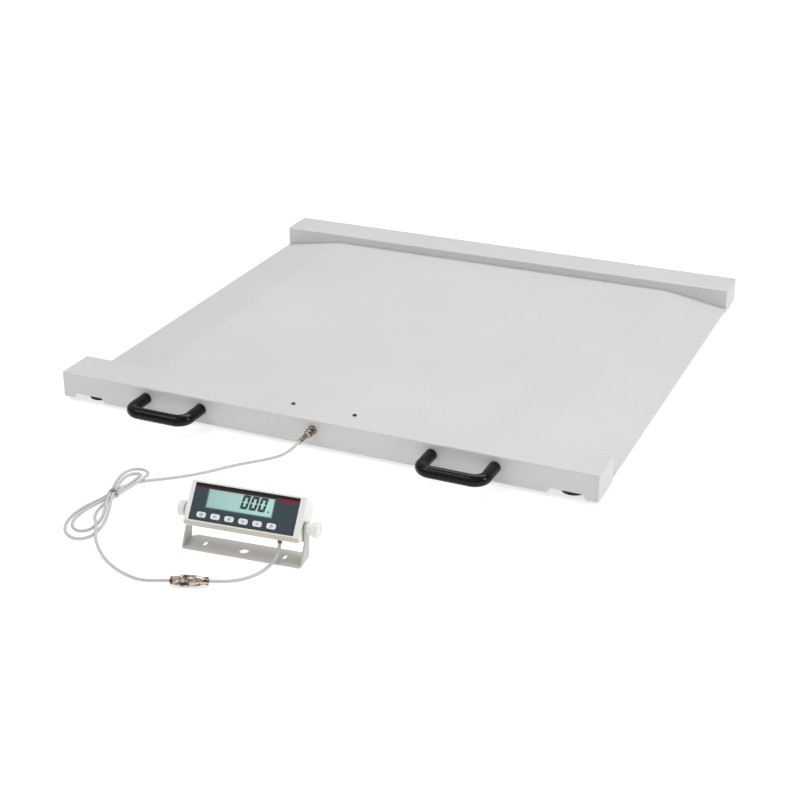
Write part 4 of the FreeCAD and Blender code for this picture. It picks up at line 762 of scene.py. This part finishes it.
# ---------------------------------------------------------------- connector and gland
def make_connector():
    """Nickel plated in-line connector: plug, knurled coupling ring and socket with a clamp nut."""
    plug = [
        (0, 2.6), (0, 5.3), (0.6, 5.9), (3.8, 5.9), (4.4, 5.3), (4.8, 5.3), (5.6, 6.6), (6.2, 6.6),
        (6.4, 6.6), (12.6, 6.6), (12.8, 6.6), (13.6, 6.4), (13.8, 6.0), (29.6, 6.0), (29.9, 5.7),
        (29.9, 4.1), (16.2, 4.1), (16.0, 2.6),
    ]
    socket = [
        (26.1, 6.1), (26.1, 7.3), (26.6, 7.8), (28.4, 7.8), (28.8, 7.3), (29.2, 7.3), (29.6, 7.8),
        (34.1, 7.8), (36.5, 7.3), (41.4, 6.2), (43.0, 5.9), (43.2, 5.4), (45.6, 5.4), (46.0, 5.9),
        (46.6, 6.0), (51.9, 6.0), (52.6, 5.4), (52.6, 2.6), (46.0, 2.6), (31.0, 2.6), (30.4, 6.1),
    ]
    ring = [
        (14.0, 6.1), (14.0, 7.7), (14.7, 8.4), (16.0, 8.4), (16.4, 7.9), (16.9, 7.9), (17.3, 8.4),
        (17.5, 8.4), (22.9, 8.4), (23.1, 8.4), (23.5, 7.9), (24.0, 7.9), (24.4, 8.4), (25.3, 8.4),
        (25.95, 7.7), (25.95, 6.1),
    ]
    made = {
        "connector_plug": lathe("plug", plug, IN_CONNECTOR, 144, 24, 0.45, (6.1, 12.7, 6.5)),
        "connector_socket": lathe("socket", socket, IN_CONNECTOR, 144, 12, 0.35, (46.1, 52.0, 5.9)),
        "coupling_ring": lathe("ring", ring, IN_CONNECTOR, 192, 32, 0.5, (17.2, 23.2, 8.3)),
    }
    for node, mesh in made.items():
        piece = add_piece(node + "_piece", mesh, body_of(NODES[node])[0], SLOTS[node])
        keep_flat_faces(piece)
        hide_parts(node)


# ---------------------------------------------------------------- platform
def make_platform():
    refined("deck_plate", 0.4, soft=(4, 20, 9))
    for node in ("front_curb", "rear_curb", "curb_ends"):
        refined(node, 0.35)
    refined("deck_ribs", 0.3)
    for node in ("handle_left", "handle_right"):
        refined(node, 0.5)
    make_seams()


def make_seams():
    """Painted weld fillets where the deck sheet meets the curbs, along the flat and both ramps."""
    inner, crease, end = 381.0, 358.5, 475.0
    top, lip, reach = 34.0, 14.5, 1.6
    profile = [(0.0, 0.0), (reach, 0.0), (reach * 0.55, reach * 0.18), (reach * 0.18, reach * 0.55),
               (0.0, reach)]
    stations = [(-end, lip + 0.16), (-crease - 6, top - 0.9), (-crease, top), (crease, top),
                (crease + 6, top - 0.9), (end, lip + 0.16)]
    for side, name in ((-1, "front"), (1, "rear")):
        points, faces = [], []
        for x, z in stations:
            points += [at(x, side * (inner - out), z + up) for out, up in profile]
        count = len(profile)
        for row in range(len(stations) - 1):
            for i in range(count):
                j = (i + 1) % count
                faces.append((row * count + i, row * count + j,
                              (row + 1) * count + j, (row + 1) * count + i))
        faces.append(tuple(range(count)))
        faces.append(tuple(range((len(stations) - 1) * count, len(stations) * count)))
        seam = add_piece(f"weld_seam_{name}", mesh_from("seam", points, faces), "root", "deck_paint")
        keep_flat_faces(seam)


# ---------------------------------------------------------------- display
FACE_Y = -15.5
GLASS_Y = -14.9
KEY_Y = -16.3
KEY_Z = -7.7
KEY_X = [-62.2 + 21.3 * number for number in range(6)]
FIRST_DIGIT_X = -8.2
DIGIT_PITCH = 13.25
DIGIT_Z = 9.7


def zero_segments(x, z, width=11.0, height=20.4, stroke=3.7, slant=0.14):
    """The six lit bars of a zero, leaning to the right. x, z is its lower left corner."""
    gap, half = 0.28, height / 2
    bars = {
        "a": [(gap, height), (width - gap, height), (width - stroke, height - stroke),
              (stroke, height - stroke)],
        "d": [(gap, 0), (width - gap, 0), (width - stroke, stroke), (stroke, stroke)],
        "f": [(0, height - gap), (0, half + gap), (stroke / 2, half), (stroke, half + stroke / 2),
              (stroke, height - stroke - gap)],
        "e": [(0, gap), (0, half - gap), (stroke / 2, half - 2 * gap), (stroke, half - stroke / 2),
              (stroke, stroke + gap)],
    }
    for left, right in (("f", "b"), ("e", "c")):
        bars[right] = [(width - px, pz) for px, pz in bars[left]]
    return [[(x + px + slant * pz, z + pz) for px, pz in bars[bar]] for bar in "abcdef"]


def make_printing():
    """Ink on the faceplate and the lit bars on the liquid crystal panel. Nothing on it is lettering."""
    strip = rounded_outline(157.4, 4.2, 0.5, -1, 34.8)
    printed("face_top_strip", [strip], FACE_Y, "display", "face_dark", "strip_black")
    line = rounded_outline(122.0, 2.0, 0.3, -18.5, 31.7)
    accent = rounded_outline(24.5, 4.2, 0.8, 60.5, 30.4)
    printed("face_accent_line", [line], FACE_Y, "display", "face_dark", "line_maroon")
    printed("face_accent_block", [accent], FACE_Y, "display", "face_dark", "accent_red")
    bezel = (rounded_outline(102.3, 29.3, 1.2, -8.6, 17.4), rounded_outline(100.0, 27.0, 0.6, -8.6, 17.4))
    printed("lcd_bezel_line", [bezel], FACE_Y, "display", "face_dark", "lcd_bezel", 0.04)
    bars = []
    for number in range(3):
        bars += zero_segments(FIRST_DIGIT_X + DIGIT_PITCH * number, DIGIT_Z)
    bars.append(rounded_outline(2.2, 2.2, 0.5, 34.9, 11.2, 3))
    printed("lcd_digits", bars, GLASS_Y, "display", "lcd_glass", "lcd_segment", 0.05)

    def icon(number, *shapes):
        x = KEY_X[number]
        moved = []
        for shape in shapes:
            if isinstance(shape, tuple):
                moved.append(tuple([(px + x, pz + KEY_Z) for px, pz in part] for part in shape))
            else:
                moved.append([(px + x, pz + KEY_Z) for px, pz in shape])
        printed(f"key_{number + 1}_icon", moved, KEY_Y, f"key_{number + 1}", "key_white", "icon_grey")

    ring = (circle_outline(2.2), circle_outline(1.55))
    icon(0, ring, rounded_outline(0.6, 2.2, 0.2, 0, 0.2))
    icon(1, [(-2.6, 0), (-0.6, 1.6), (-0.6, -1.6)], rounded_outline(2.8, 0.8, 0.2, 1.1, 0))
    icon(2, ring, circle_outline(0.75))
    icon(3, rounded_outline(4.4, 0.7, 0.2, 0, 0.9), rounded_outline(4.4, 0.7, 0.2, 0, -0.9))
    icon(4, [(-2.4, 0.5), (0.2, 2.2), (0.2, 0.5)], [(2.4, -0.5), (-0.2, -2.2), (-0.2, -0.5)])
    icon(5, (rounded_outline(4.6, 2.6, 0.3, 0, -0.5), rounded_outline(3.6, 1.6, 0.2, 0, -0.5)),
         rounded_outline(2.8, 0.9, 0.2, 0, 1.5))


def make_display():
    front = refined("housing_front", 0.45)
    shade_lower_band(front)
    refined("housing_back", 0.45)
    refined("faceplate", 0.15)
    refined("lcd_module", 0.15)
    for number in range(1, 7):
        refined(f"key_{number}", 0.35, segments=3)
    for node in ("knob_left", "knob_right"):
        refined(node, 0.3)
    refined("display_bracket", 0.3)
    make_printing()


def shade_lower_band(front):
    """The faces of the bevel along the front's lower edge that look down and forward take a darker cream:
    painted shade.
    """
    front.data.materials.append(FINISHES["case_painted_shade"])
    to_housing = IN_HOUSING.inverted()
    for polygon in front.data.polygons:
        centre = to_housing @ polygon.center
        facing = to_housing.to_3x3() @ polygon.normal
        # Painted shade: lower bevel faces that look down and forward get the darker cream.
        if centre.z < -17.5 * MM and facing.y < -0.3 and facing.z < -0.25 and centre.y < -10 * MM:
            polygon.material_index = 1


def make_rest():
    """Fittings that are seen from other sides or not at all keep their shape, with broken edges."""
    refined("display_gland", 0.2, look="gland_nylon")
    done = {name for name in NODES if NODES[name].hide_render}
    for node in sorted(NODES):
        if node not in done:
            refined(node, 0.2)


FINISHES = {}


def main():
    bpy.context.scene.view_settings.view_transform = "Standard"
    add_camera()
    FINISHES.update(make_finishes())
    make_connector()
    make_cords()
    add_light()
    add_floor()
    make_platform()
    make_display()
    make_rest()


main()
